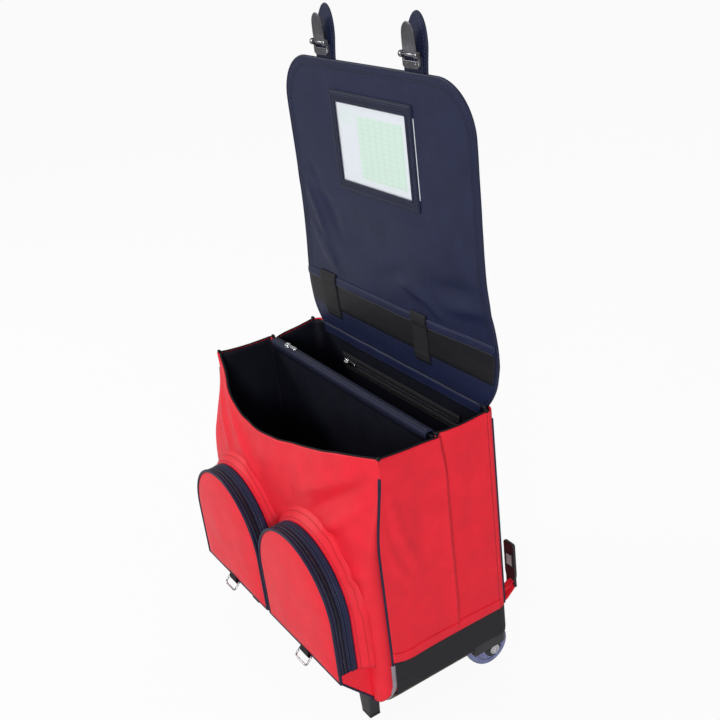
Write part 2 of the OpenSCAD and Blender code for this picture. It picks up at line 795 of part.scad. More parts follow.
front_panel();
gusset_left();
gusset_right();
back_panel();
lining();
divider();
divider_zip();
back_pocket_zip();
base_cover();
base_board();
pocket_panel_left();
pocket_panel_right();
pocket_zip_left();
pocket_zip_right();
loop_tabs();
chassis_plate();
wheel_housing_left();
wheel_housing_right();
wheel_axles();
front_feet();
foot_pads();
clip_tabs();
handle_sleeves();
handle_bracket();
handle_collar();
chassis_screws();
wheel_tyre_left();
wheel_hub_left();
wheel_bearings_left();
wheel_tyre_right();
wheel_hub_right();
wheel_bearings_right();
middle_tubes();
inner_tubes();
handle_grip();
grip_button();
button_spring();
flap_lower();
mesh_pocket();
webbing_tabs();
flap_upper();
window_frame();
window_film();
timetable_card();
strap_left();
strap_right();
clasp_tabs();
clasp_base_left();
clasp_base_right();
clasp_lever_left();
clasp_lever_right();
divider_slider();
back_pocket_slider();
pocket_slider_left();
pocket_slider_right();
wire_loop_left();
wire_loop_right();
strap_clip_left();
strap_clip_right();
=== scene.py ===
"""Looks of the wheeled school satchel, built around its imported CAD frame. Lengths are in metres."""
import json
import math

import bmesh
import bpy
import numpy as np
from mathutils import Matrix, Vector, noise

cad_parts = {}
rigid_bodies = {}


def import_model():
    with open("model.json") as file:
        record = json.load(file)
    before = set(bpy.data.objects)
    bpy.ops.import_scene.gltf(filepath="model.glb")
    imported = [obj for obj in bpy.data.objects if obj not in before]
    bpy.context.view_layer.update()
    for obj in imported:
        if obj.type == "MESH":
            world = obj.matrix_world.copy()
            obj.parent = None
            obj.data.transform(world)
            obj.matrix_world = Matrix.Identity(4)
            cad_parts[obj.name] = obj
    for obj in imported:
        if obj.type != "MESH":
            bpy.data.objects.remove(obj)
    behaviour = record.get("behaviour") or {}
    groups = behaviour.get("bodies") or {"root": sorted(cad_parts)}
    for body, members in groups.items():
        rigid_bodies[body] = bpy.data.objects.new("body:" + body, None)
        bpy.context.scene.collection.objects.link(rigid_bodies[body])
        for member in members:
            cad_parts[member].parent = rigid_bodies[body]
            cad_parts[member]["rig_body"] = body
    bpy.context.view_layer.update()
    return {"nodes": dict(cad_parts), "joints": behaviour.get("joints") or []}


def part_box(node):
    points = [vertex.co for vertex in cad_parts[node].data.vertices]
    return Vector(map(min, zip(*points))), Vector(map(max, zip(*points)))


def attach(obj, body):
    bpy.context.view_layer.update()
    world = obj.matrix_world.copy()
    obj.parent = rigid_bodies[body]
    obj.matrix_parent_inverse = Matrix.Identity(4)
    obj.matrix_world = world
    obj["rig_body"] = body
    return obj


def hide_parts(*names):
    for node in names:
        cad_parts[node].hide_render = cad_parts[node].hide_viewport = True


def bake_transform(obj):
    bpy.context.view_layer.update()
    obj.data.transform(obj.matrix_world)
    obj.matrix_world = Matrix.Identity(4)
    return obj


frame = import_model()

MM = 0.001
SIDES = ((-1, "left"), (1, "right"))

# ---------------------------------------------------------------- places taken from the frame
HALF_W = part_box("gusset_right")[1].x
BACK_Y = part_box("back_panel")[1].y
BULGE_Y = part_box("front_panel")[0].y
RIM_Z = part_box("back_panel")[1].z
BAND_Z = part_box("back_panel")[0].z
BOTTOM_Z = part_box("front_panel")[0].z
HALF_DEPTH = 93 * MM                 # half the depth between the corner seams
MID_Y = BACK_Y - HALF_DEPTH
SEAM_Y = MID_Y - HALF_DEPTH          # front corner seams at their lower end
FACE_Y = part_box("pocket_panel_right")[0].y
DIVIDER_Y = (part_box("divider")[0].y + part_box("divider")[1].y) / 2
JOINTS = {j["name"]: j for j in frame["joints"]}


def pivot(joint):
    return Vector(JOINTS[joint]["pos_m"])


HINGE = pivot("flap_hinge")
FOLD = pivot("flap_fold")
FLAP_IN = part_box("flap_upper")[0].y  # inner face of the flap, towards the front
FLAP_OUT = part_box("flap_upper")[1].y
FLAP_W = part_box("flap_upper")[1].x
FLAP_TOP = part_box("flap_upper")[1].z


# ---------------------------------------------------------------- small maths
def smooth(x, a, b):
    """A soft step from 0 at a to 1 at b."""
    t = np.clip((np.asarray(x, float) - a) / (b - a), 0, 1)
    return t * t * (3 - 2 * t)


def through(x, xs, ys):
    """A smooth curve through the points (xs, ys), read at x."""
    fine = np.linspace(xs[0], xs[-1], 400)
    line = np.interp(fine, xs, ys)
    width = 400 // (2 * len(xs))
    kernel = np.hanning(2 * width + 1)
    padded = np.pad(line, width, mode="reflect", reflect_type="odd")
    return np.interp(x, fine, np.convolve(padded, kernel / kernel.sum(), "valid"))


def xyz(x, y, z):
    """Points from coordinates that are numbers or arrays."""
    return np.stack(np.broadcast_arrays(x, y, z), -1)


def ridge(x, z, start, end, width, height):
    """Height of a soft fold that runs from start to end in the plane of x and z."""
    (ax, az), (bx, bz) = start, end
    length2 = (bx - ax) ** 2 + (bz - az) ** 2
    t = np.clip(((x - ax) * (bx - ax) + (z - az) * (bz - az)) / length2, 0, 1)
    away = np.hypot(x - ax - t * (bx - ax), z - az - t * (bz - az))
    fade = np.sin(np.pi * (0.08 + 0.84 * t))     # lower towards both ends
    return height * np.exp(-((away / width) ** 2)) * fade


def folds(x, z, table):
    """Sum of ridges, each (start, end, width, height in millimetres)."""
    return sum(ridge(x, z, start, end, width, height * MM) for start, end, width, height in table)


def rumple(points, scale, height, seed):
    """Soft random unevenness, the same each run, at points in metres."""
    flat = np.asarray(points, float).reshape(-1, 3) * scale + seed
    values = [noise.noise(Vector(p)) for p in flat]
    return height * np.array(values).reshape(np.shape(points)[:-1])


# ---------------------------------------------------------------- materials
def link(tree, a, b):
    tree.links.new(a, b)


WAVE_PERIOD = 0.314                  # period of Blender's wave texture at a scale of 1


class Maker:
    """A material under construction: its Principled shader, a colour and a bump that details add to."""

    def __init__(self, name, color, rough, metal=0.0, sheen=0.0, coat=0.0, specular=0.5):
        self.mat = bpy.data.materials.new(name)
        self.mat.use_nodes = True
        self.tree = self.mat.node_tree
        self.shader = self.tree.nodes["Principled BSDF"]
        self.set(Base_Color=(*color, 1), Roughness=rough, Metallic=metal, Sheen_Weight=sheen, Coat_Weight=coat,
            Specular_IOR_Level=specular)
        self.color = color
        self.last_bump = None
        self.mat.diffuse_color = (*color, 1)

    def set(self, node=None, **inputs):
        """Gives a node's inputs values, or links them to outputs of other nodes."""
        for key, value in inputs.items():
            slot = (node or self.shader).inputs[key.replace("_", " ")]
            if isinstance(value, bpy.types.NodeSocket):
                link(self.tree, value, slot)
            else:
                slot.default_value = value

    def node(self, kind, **inputs):
        n = self.tree.nodes.new(kind)
        self.set(n, **inputs)
        return n

    def coords(self, which="UV"):
        return self.node("ShaderNodeTexCoord").outputs[which]

    def noise(self, scale, which="Object", detail=3.0):
        return self.node("ShaderNodeTexNoise", Scale=scale, Detail=detail, Vector=self.coords(which)).outputs["Fac"]

    def waves(self, period, direction, which="UV", distort=0.0):
        """Stripes with a period in metres."""
        n = self.node("ShaderNodeTexWave", Scale=WAVE_PERIOD / period, Distortion=distort,
            Vector=self.coords(which))
        n.bands_direction = direction
        return n.outputs["Fac"]

    def maths(self, operation, a, b):
        n = self.tree.nodes.new("ShaderNodeMath")
        n.operation = operation
        for slot, value in zip(n.inputs, (a, b)):
            if isinstance(value, (int, float)):
                slot.default_value = value
            else:
                link(self.tree, value, slot)
        return n.outputs[0]

    def shade(self, factor, low, high):
        """Colour runs between low and high times itself as factor goes from 0.3 to 0.7."""
        ramp = self.tree.nodes.new("ShaderNodeValToRGB")
        for element, position, times in zip(ramp.color_ramp.elements, (0.3, 0.7), (low, high)):
            element.position = position
            element.color = (*[min(1, c * times) for c in self.color], 1)
        link(self.tree, factor, ramp.inputs[0])
        self.set(Base_Color=ramp.outputs[0])

    def rough(self, factor, low, high):
        self.set(Roughness=self.node("ShaderNodeMapRange", To_Min=low, To_Max=high, Value=factor).outputs[0])

    def bump(self, height, strength, distance):
        n = self.node("ShaderNodeBump", Strength=strength, Distance=distance, Height=height)
        if self.last_bump:
            self.set(n, Normal=self.last_bump)
        self.last_bump = n.outputs["Normal"]
        self.set(Normal=self.last_bump)

    def weave(self, period, strength, distance=0.0002):
        cloth = self.maths("MULTIPLY", self.waves(period, "X"), self.waves(period, "Y"))
        self.bump(cloth, strength, distance)


def cloth(name, color, rough, period, strength, sheen=0.0, low=0.86, high=1.1, specular=0.25):
    m = Maker(name, color, rough, sheen=sheen, specular=specular)
    m.set(Sheen_Roughness=0.5)
    m.shade(m.noise(38.0, detail=6.0), low, high)
    m.rough(m.noise(160.0), rough - 0.07, rough + 0.07)
    m.weave(period, strength)
    m.bump(m.noise(90.0, detail=4.0), 0.25, 0.0008)
    return m.mat


def plastic(name, color, rough, grain=0.3):
    m = Maker(name, color, rough)
    m.shade(m.noise(60.0), 0.85, 1.15)
    m.rough(m.noise(240.0), rough - 0.06, rough + 0.08)
    m.bump(m.noise(1400.0), grain, 0.0002)
    return m.mat


def metal(name, color, rough, brushed=0.0):
    m = Maker(name, color, rough, metal=1.0)
    m.shade(m.noise(90.0), 0.85, 1.08)
    m.rough(m.noise(300.0), max(0.04, rough - 0.06), rough + 0.12)
    if brushed:
        m.bump(m.waves(0.0006, "Z", "Object", 3.0), brushed, 0.00004)
    return m.mat


def thread(name, color):
    m = Maker(name, color, 0.6)
    m.bump(m.noise(2500.0), 0.4, 0.0002)
    return m.mat


def dotted_cloth(name, color):
    m = Maker(name, color, 0.62, specular=0.3)
    turn = m.node("ShaderNodeMapping", Rotation=(0, 0, math.radians(45)), Vector=m.coords())
    dots = m.node("ShaderNodeTexVoronoi", Scale=430.0, Randomness=0.0, Vector=turn.outputs[0])
    dots.voronoi_dimensions = "2D"
    m.shade(dots.outputs["Distance"], 0.55, 1.5)
    m.bump(dots.outputs["Distance"], 0.6, 0.0006)
    m.bump(m.noise(120.0), 0.2, 0.0008)
    return m.mat


def ribbed_cloth(name, color, period, direction, rough=0.6, strength=0.6):
    m = Maker(name, color, rough, specular=0.25)
    ribs = m.waves(period, direction)
    m.shade(ribs, 0.7, 1.25)
    m.bump(ribs, strength, 0.0005)
    m.bump(m.noise(700.0), 0.2, 0.0002)
    return m.mat


def clear(name, color, rough, transmission, alpha=1.0):
    m = Maker(name, color, rough)
    m.set(Transmission_Weight=transmission, IOR=1.45, Alpha=alpha)
    m.bump(m.noise(45.0), 0.1, 0.0006)
    return m.mat


def tyre_material(name):
    m = Maker(name, (0.30, 0.33, 0.62), 0.22, coat=0.4)
    m.set(Transmission_Weight=0.45, IOR=1.5)
    m.shade(m.noise(70.0), 0.8, 1.25)
    m.rough(m.noise(220.0), 0.16, 0.34)
    m.bump(m.noise(500.0), 0.12, 0.0003)
    return m.mat


RED = cloth("red_cloth", (0.74, 0.012, 0.028), 0.50, 0.0011, 0.35, low=0.93, high=1.05, specular=0.3)
NAVY = cloth("navy_cloth", (0.009, 0.013, 0.045), 0.50, 0.0011, 0.35)
NAVY_DARK = cloth("navy_facing", (0.010, 0.013, 0.040), 0.48, 0.0011, 0.35)
LINING = cloth("lining_cloth", (0.0060, 0.0064, 0.0125), 0.55, 0.0012, 0.35, specular=0.2)
BASE = dotted_cloth("base_cloth", (0.018, 0.018, 0.022))
TAPE = ribbed_cloth("zip_tape", (0.012, 0.014, 0.040), 0.0013, "Y")
BINDING = ribbed_cloth("rim_binding", (0.006, 0.006, 0.009), 0.0016, "X")
WEBBING = ribbed_cloth("black_webbing", (0.008, 0.008, 0.010), 0.0018, "Y", strength=0.9)
PIPING = cloth("navy_piping", (0.010, 0.012, 0.036), 0.42, 0.0010, 0.2)
GREY_PIPING = cloth("grey_piping", (0.24, 0.21, 0.24), 0.38, 0.0010, 0.2)
RED_THREAD = thread("red_thread", (0.42, 0.006, 0.016))
NAVY_THREAD = thread("navy_thread", (0.050, 0.056, 0.110))
DARK_THREAD = thread("dark_thread", (0.012, 0.014, 0.030))
TEETH = plastic("zip_teeth", (0.016, 0.018, 0.036), 0.38, 0.1)
PLASTIC = plastic("black_plastic", (0.022, 0.022, 0.025), 0.46)
BUTTON = plastic("button_plastic", (0.10, 0.10, 0.12), 0.40)
RUBBER = plastic("pad_rubber", (0.012, 0.012, 0.013), 0.75, 0.5)
HUB = plastic("hub_plastic", (0.42, 0.43, 0.52), 0.30, 0.1)
CHROME = metal("bolt_steel", (0.78, 0.79, 0.81), 0.14)
GUNMETAL = metal("clasp_metal", (0.19, 0.19, 0.205), 0.24)
NICKEL = metal("slider_metal", (0.66, 0.66, 0.68), 0.20)
WIRE = metal("wire_metal", (0.36, 0.36, 0.38), 0.20)
ALLOY = metal("tube_alloy", (0.66, 0.67, 0.70), 0.28, 0.2)
ZINC = metal("screw_steel", (0.42, 0.42, 0.45), 0.35)
BOARD = plastic("fibre_board", (0.10, 0.075, 0.05), 0.8, 0.6)
FILM = clear("window_film", (0.95, 0.97, 0.98), 0.10, 0.0, 0.07)
TYRE = tyre_material("tyre")


def card_material():
    """White card with a plain ruled table on a pale green ground."""
    m = Maker("card", (0.70, 0.74, 0.78), 0.65)
    xy = m.node("ShaderNodeSeparateXYZ", Vector=m.coords())
    u, v = xy.outputs[0], xy.outputs[1]

    def band(value, low, high):
        above = m.maths("GREATER_THAN", value, low)
        return m.maths("MULTIPLY", above, m.maths("LESS_THAN", value, high))

    table = m.maths("MULTIPLY", band(u, 0.30, 0.93), band(v, 0.10, 0.86))
    columns = m.maths("LESS_THAN", m.maths("FRACT", m.maths("MULTIPLY", u, 11.0), 0.0), 0.09)
    rows = m.maths("LESS_THAN", m.maths("FRACT", m.maths("MULTIPLY", v, 17.0), 0.0), 0.10)
    lines = m.maths("MULTIPLY", m.maths("MAXIMUM", columns, rows), table)
    head = m.maths("MULTIPLY", band(u, 0.06, 0.26), band(v, 0.72, 0.90))
    ground = m.node("ShaderNodeMix")
    ground.data_type = "RGBA"
    ground.inputs[6].default_value = (0.70, 0.74, 0.78, 1)
    ground.inputs[7].default_value = (0.60, 0.76, 0.66, 1)
    link(m.tree, m.maths("ADD", table, m.maths("MULTIPLY", head, 0.35)), ground.inputs[0])
    ruled = m.node("ShaderNodeMix")
    ruled.data_type = "RGBA"
    ruled.inputs[7].default_value = (0.42, 0.58, 0.52, 1)
    link(m.tree, m.maths("MULTIPLY", lines, 0.55), ruled.inputs[0])
    link(m.tree, ground.outputs[2], ruled.inputs[6])
    m.set(Base_Color=ruled.outputs[2])
    return m.mat


CARD = card_material()


def new_object(name, data):
    thing = bpy.data.objects.new(name, data)
    bpy.context.scene.collection.objects.link(thing)
    return thing


def new_mesh(name, verts, faces):
    mesh = bpy.data.meshes.new(name)
    mesh.from_pydata([tuple(v) for v in verts], [], faces)
    return mesh


def add(name, mesh, material, body="bag", slot=None, replaces=()):
    """A piece of the visual model."""
    piece = new_object(name, mesh)
    mesh.materials.clear()
    mesh.materials.append(material)
    for polygon in mesh.polygons:
        polygon.use_smooth = True
    if body:
        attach(piece, body)
    if replaces:
        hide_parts(*replaces)
    return piece


def grid_mesh(name, points, uv=None, wrap=False):
    """A mesh over rows and columns of points. Its UVs are lengths in metres along them."""
    rows, cols = points.shape[:2]
    if uv is None:
        across = np.linalg.norm(np.diff(points, axis=1), axis=2)
        up = np.linalg.norm(np.diff(points, axis=0), axis=2)
        u = np.concatenate([np.zeros((rows, 1)), np.cumsum(across, 1)], 1)
        v = np.concatenate([np.zeros((1, cols)), np.cumsum(up, 0)], 0)
        uv = np.stack([u, v], 2)
    mesh = bpy.data.meshes.new(name)
    last = cols if wrap else cols - 1
    faces = [(r * cols + c, r * cols + (c + 1) % cols, (r + 1) * cols + (c + 1) % cols, (r + 1) * cols + c)
        for r in range(rows - 1) for c in range(last)]
    mesh.from_pydata(points.reshape(-1, 3).tolist(), [], faces)
    layer = mesh.uv_layers.new(name="UVMap")
    index = np.zeros(len(mesh.loops), int)
    mesh.loops.foreach_get("vertex_index", index)
    layer.data.foreach_set("uv", uv.reshape(-1, 2)[index].ravel())
    return mesh


def capped(mesh):
    """Closes a mesh's open ends."""
    bm = bmesh.new()
    bm.from_mesh(mesh)
    bmesh.ops.holes_fill(bm, edges=[e for e in bm.edges if e.is_boundary], sides=0)
    bmesh.ops.recalc_face_normals(bm, faces=bm.faces)
    bm.to_mesh(mesh)
    bm.free()


def finished(piece):
    """The piece with its modifiers applied."""
    deps = bpy.context.evaluated_depsgraph_get()
    mesh = bpy.data.meshes.new_from_object(piece.evaluated_get(deps))
    piece.modifiers.clear()
    piece.data = mesh
    return piece


def thicken(piece, thickness, offset=1.0):
    """Gives a sheet its thickness, on the side that its faces look away from when offset is -1."""
    m = piece.modifiers.new("thick", "SOLIDIFY")
    m.thickness = thickness
    m.offset = offset
    m.use_even_offset = True
    return finished(piece)


def bevel(piece, width, segments=2, angle=35):
    m = piece.modifiers.new("bevel", "BEVEL")
    m.width = width
    m.segments = segments
    m.limit_method = "ANGLE"
    m.angle_limit = math.radians(angle)
    m.harden_normals = True
    return finished(piece)


def cloth_sheet(name, points, material, thickness, offset=1.0, uv=None, **where):
    return thicken(add(name, grid_mesh(name, points, uv), material, **where), thickness, offset)


def frames_along(path, closed=False):
    """Tangents and two side directions at each point of a path, turned as little as possible."""
    ahead = np.roll(path, -1, 0) - np.roll(path, 1, 0)
    if not closed:
        ahead[0], ahead[-1] = path[1] - path[0], path[-1] - path[-2]
    tangents = ahead / np.linalg.norm(ahead, axis=1)[:, None]
    side = np.cross(tangents[0], [0.0, 0.0, 1.0])
    if np.linalg.norm(side) < 0.1:
        side = np.cross(tangents[0], [0.0, 1.0, 0.0])
    sides = []
    for t in tangents:
        side = side - t * np.dot(side, t)
        side = side / np.linalg.norm(side)
        sides.append(side.copy())
    sides = np.array(sides)
    return tangents, sides, np.cross(tangents, sides)


def tube(name, path, radius, material, closed=False, sides=10, squash=1.0, **where):
    """A round cord or wire along a path, with closed ends unless it is a ring."""
    path = np.asarray(path, float)
    _, a, b = frames_along(path, closed)
    turn = np.linspace(0, 2 * np.pi, sides, endpoint=False)
    ring = np.cos(turn)[None, :, None] * a[:, None] + squash * np.sin(turn)[None, :, None] * b[:, None]
    points = path[:, None] + radius * ring
    if closed:
        points = np.concatenate([points, points[:1]], 0)
    mesh = grid_mesh(name, points, wrap=True)
    if not closed:
        capped(mesh)
    return add(name, mesh, material, **where)


def lathe(name, axis, profile, material, sides=32, **where):
    """A turned piece: profile is (share along the axis, radius in mm)."""
    a, b = np.array(axis[0], float), np.array(axis[1], float)
    along = (b - a) / np.linalg.norm(b - a)
    side = np.cross(along, [0.0, 0.0, 1.0] if abs(along[2]) < 0.9 else [1.0, 0.0, 0.0])
    side /= np.linalg.norm(side)
    other = np.cross(along, side)
    turn = np.linspace(0, 2 * np.pi, sides, endpoint=False)
    ring = np.cos(turn)[:, None] * side + np.sin(turn)[:, None] * other
    rings = np.array([a + (b - a) * share + max(r, 0.001) * MM * ring for share, r in profile])
    mesh = grid_mesh(name, rings, wrap=True)
    capped(mesh)
    piece = add(name, mesh, material, **where)
    m = piece.modifiers.new("edges", "EDGE_SPLIT")
    m.split_angle = math.radians(40)
    return finished(piece)


def even(path, values, count):
    """The values held at a path's points, read at evenly spaced places, as many as count(length) says."""
    path, values = np.asarray(path, float), np.asarray(values, float)
    along = np.concatenate([[0], np.cumsum(np.linalg.norm(np.diff(path, axis=0), axis=1))])
    at = np.linspace(0, along[-1], count(along[-1]))
    return np.stack([np.interp(at, along, values[:, k]) for k in range(3)], 1)


def resample(path, step):
    """The path with points about every step."""
    return even(path, path, lambda length: max(2, int(round(length / step)) + 1))


def many(name, places, block, material, **where):
    """One mesh of copies of block, (vertices, faces), each at its place: (origin, x, y, z directions)."""
    verts, faces = [], []
    block_v, block_f = np.array(block[0], float), block[1]
    for n, (origin, x, y, z) in enumerate(places):
        verts.append(np.asarray(origin) + block_v @ np.array([x, y, z], float))
        faces += [tuple(i + n * len(block_v) for i in face) for face in block_f]
    return add(name, new_mesh(name, np.concatenate(verts).tolist(), faces), material, **where)


def lozenge(length, width, height):
    """A rounded stitch or tooth, lying along X on the plane z = 0."""
    rings = [(-0.5, 0.35), (-0.3, 1.0), (0.3, 1.0), (0.5, 0.35)]
    verts, faces = [], []
    for x, k in rings:
        for a in (0, 60, 120, 180):
            y, z = math.cos(math.radians(a)), math.sin(math.radians(a))
            verts.append((x * length, y * k * width / 2, z * k * height))
    for i in (0, 4, 8):
        faces += [(i + c, i + c + 4, i + c + 5, i + c + 1) for c in range(3)] + [(i + 3, i + 7, i + 4, i)]
    faces += [(0, 1, 2, 3), (15, 14, 13, 12)]
    return verts, faces


def along_path(path, out, step, phase=0.5):
    """Places every step along a path, with x ahead and z outwards."""
    fine = resample(path, step)
    outs = even(path, np.broadcast_to(out, np.shape(path)), lambda length: len(fine))
    places = []
    for i in range(len(fine) - 1):
        x = fine[i + 1] - fine[i]
        x = x / np.linalg.norm(x)
        z = outs[i] - x * np.dot(outs[i], x)
        z = z / np.linalg.norm(z)
        places.append((fine[i] * (1 - phase) + fine[i + 1] * phase, x, np.cross(z, x), z))
    return places


def stitches(name, path, out, material, step=4.2 * MM, size=2.9 * MM, **where):
    return many(name, along_path(path, out, step), lozenge(size, 0.75 * MM, 0.38 * MM), material, **where)


def zip_teeth(name, path, out, width=4.2 * MM, step=1.7 * MM, **where):
    block = lozenge(width, step * 0.72, 1.3 * MM)
    places = [(o, y, -x, z) for o, x, y, z in along_path(path, out, step)]
    return many(name, places, block, TEETH, **where)


def softened(node, material, width, slot=None, segments=2):
    """The CAD node's shape with its hard edges eased, standing for the node."""
    source = frame["nodes"][node]
    mesh = source.data.copy()
    mesh.name = node + "_eased"
    bm = bmesh.new()
    bm.from_mesh(mesh)
    bmesh.ops.remove_doubles(bm, verts=bm.verts, dist=1e-6)
    bmesh.ops.dissolve_limit(bm, angle_limit=math.radians(1.0), verts=bm.verts, edges=bm.edges)
    bm.to_mesh(mesh)
    bm.free()
    piece = add(node + "_eased", mesh, material, source["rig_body"], slot, [node])
    bevel(piece, width, segments, 25)


def block(name, low, high, material, edge=0.4 * MM, **where):
    (a, b, c), (d, e, f) = low, high
    verts = [(x, y, z) for x in (a, d) for y in (b, e) for z in (c, f)]
    faces = [(0, 1, 3, 2), (4, 6, 7, 5), (0, 4, 5, 1), (2, 3, 7, 6), (0, 2, 6, 4), (1, 5, 7, 3)]
    bevel(add(name, new_mesh(name, verts, faces), material, **where), edge, 3)


def plate(name, outline, origin, across, up, depth, material, edge=0.4 * MM, **where):
    """A flat plate: outline points (u, v) along across and up from origin, depth thick towards up x across."""
    across, up = Vector(across).normalized(), Vector(up).normalized()
    out = across.cross(up)
    front = [Vector(origin) + across * u + up * v for u, v in outline]
    verts = [p - out * depth / 2 for p in front] + [p + out * depth / 2 for p in front]
    n = len(outline)
    faces = [tuple(reversed(range(n))), tuple(range(n, 2 * n))]
    faces += [(i, (i + 1) % n, (i + 1) % n + n, i + n) for i in range(n)]
    bevel(add(name, new_mesh(name, verts, faces), material, **where), edge, 3)


def arc(cx, cy, r, a0, a1, n):
    turn = np.radians(np.linspace(a0, a1, n))
    return [(cx + r * math.cos(t), cy + r * math.sin(t)) for t in turn]


# ---------------------------------------------------------------- shape of the bag
def corner_y(z):
    """The front corner seams lean back towards the rim."""
    return SEAM_Y + 15 * MM * smooth(z, RIM_Z - 0.13, RIM_Z)


def front_rim_z(u):
    drop = through(u, [-1, -0.86, -0.7, -0.45, -0.2, 0.06, 0.3, 0.52, 0.75, 1],
        [0, 12, 34, 49, 51, 44, 32, 19, 7, 0])
    return RIM_Z - MM * drop


LOW_BOW = 27 * MM                    # how far the front wall stands before its corner seams, low down
RIM_BOW = 31 * MM                    # and at the rim
# Folds as (start, end, width, height in mm): places in metres across and above the bag's bottom
FRONT_FOLDS = (
    ((-0.150, 0.315), (-0.012, 0.200), 0.010, 6.0), ((0.196, 0.335), (0.060, 0.262), 0.010, 6.0),
    ((0.200, 0.290), (0.110, 0.225), 0.009, 5.5), ((-0.200, 0.330), (-0.120, 0.222), 0.010, 5.0),
    ((0.198, 0.215), (0.188, 0.080), 0.007, 2.6), ((0.204, 0.205), (0.150, 0.178), 0.007, 3.6),
    ((0.204, 0.165), (0.168, 0.142), 0.006, 3.0), ((0.190, 0.318), (0.090, 0.244), 0.008, -5.0),
    ((0.130, 0.345), (-0.060, 0.290), 0.018, -5.0), ((0.170, 0.235), (0.020, 0.215), 0.010, -4.0))


def front_surface(u, z):
    """A point of the front wall: u runs from -1 at the left seam to 1 at the right one."""
    low = SEAM_Y - LOW_BOW * (1 - np.abs(u) ** 5) ** 0.2
    high = corner_y(RIM_Z) - RIM_BOW * (1 - np.abs(u) ** 2.5)
    y = low + (high - low) * smooth(z, RIM_Z - 0.15, RIM_Z)
    y = np.where(np.abs(u) > 0.999, corner_y(z), y)
    x = HALF_W * u
    h = z - BOTTOM_Z
    edge = np.clip((1 - np.abs(u)) / 0.04, 0, 1)
    points = xyz(x, y, z)
    y = y - edge * (folds(x, h, FRONT_FOLDS) + rumple(points, 14, 3.4 * MM, 3.0)
        + rumple(points, 38, 0.9 * MM, 8.0))
    return xyz(x, np.maximum(y, BULGE_Y - 7 * MM), z)


def side_rim_z(w):
    return RIM_Z - MM * through(w, [0, 0.3, 0.55, 0.8, 1], [0, 4, 5, 3, 0])


def crease_w(z):
    """Place of the gusset's fold between its front seam, 0, and its back corner, 1."""
    return 0.60 - 0.055 * smooth(z, RIM_Z - 70 * MM, RIM_Z)


SIDE_DEPTH = 0.16                    # a gusset's depth for its folds, which are placed as above
SIDE_FOLDS = (
    ((0.012, 0.300), (0.050, 0.175), 0.007, 3.4), ((0.006, 0.215), (0.050, 0.150), 0.006, 3.0),
    ((0.004, 0.255), (0.028, 0.180), 0.005, 2.4), ((0.055, 0.290), (0.060, 0.120), 0.012, -3.0),
    ((0.135, 0.310), (0.125, 0.120), 0.012, -2.2))


def side_surface(w, z, side):
    """A point of a gusset: w runs from 0 at the front seam to 1 at the back corner."""
    front, back = corner_y(z), BACK_Y - 12 * MM
    y = front + (back - front) * w
    high = smooth(z, BAND_Z + 0.01, RIM_Z)
    past = w - crease_w(z)
    above = np.clip((z - BAND_Z - 4 * MM) / 0.03, 0, 1)
    puff = -4.4 * MM * np.exp(-np.abs(past + 0.02) / 0.07)
    dip = (6.0 + 1.4 * high) * MM * np.exp(-np.abs(past) / 0.12)
    step = smooth(past, -0.005, 0.006)
    # before the crease the cloth puffs out, behind it it dips in
    valley = above * (puff * (1 - step) + dip * step) + 3.0 * MM * high ** 3 * np.exp(-np.abs(past) / 0.05)
    h = z - BOTTOM_Z
    points = xyz(0.1 * side, y, z)
    calm = np.clip(np.minimum(w, 1 - w) / 0.08, 0, 1)
    depth = valley * np.clip(np.minimum(w, 1 - w) / 0.2, 0, 1) ** 0.7
    soft = folds(w * SIDE_DEPTH, h, SIDE_FOLDS) + rumple(points, 20, 2.0 * MM, 5.0) - 1.0 * MM
    depth = depth - calm * (0.35 + 0.65 * high) * soft
    return xyz(side * (HALF_W - np.maximum(depth, -4.5 * MM)), y, z)


def back_surface(u, z):
    """A point of the back: u from -1 at the left gusset to 1 at the right one, round both corners."""
    r = 12 * MM                          # back corners, seen from above
    straight = HALF_W - r
    arc_share = 0.1                      # share of u that goes round a corner
    turn = np.clip((np.abs(u) - (1 - arc_share)) / arc_share, 0, 1) * np.pi / 2
    x = np.sign(u) * (straight * np.minimum(np.abs(u) / (1 - arc_share), 1) + r * np.sin(turn))
    y = BACK_Y - r + r * np.cos(turn)
    calm = np.clip((0.85 - np.abs(u)) / 0.2, 0, 1)
    return xyz(x, y - calm * np.abs(rumple(xyz(x, y, z), 16, 2.0 * MM, 6.0)), z)


def red_edge_z(w):
    """Lower edge of a gusset's red cloth, with the small wave behind the front seam."""
    return BAND_Z + MM * through(w, [0, 0.12, 0.3, 1], [7, -1, 1, 0])


def rows(low, high, n):
    """Heights from low to high, (n, columns)."""
    t = np.linspace(0, 1, n)[:, None]
    return low[None] * (1 - t) + high[None] * t


def inset(points, t):
    """The same loop, t further in on every side."""
    out = points.copy()
    out[..., 0] *= 1 - t / HALF_W
    half_depth = (BACK_Y - BULGE_Y) / 2
    middle = (BACK_Y + BULGE_Y) / 2
    out[..., 1] = middle + (out[..., 1] - middle) * (1 - t / half_depth)
    return out


BOTTOM_R = 15 * MM                   # bottom corners, seen from the front


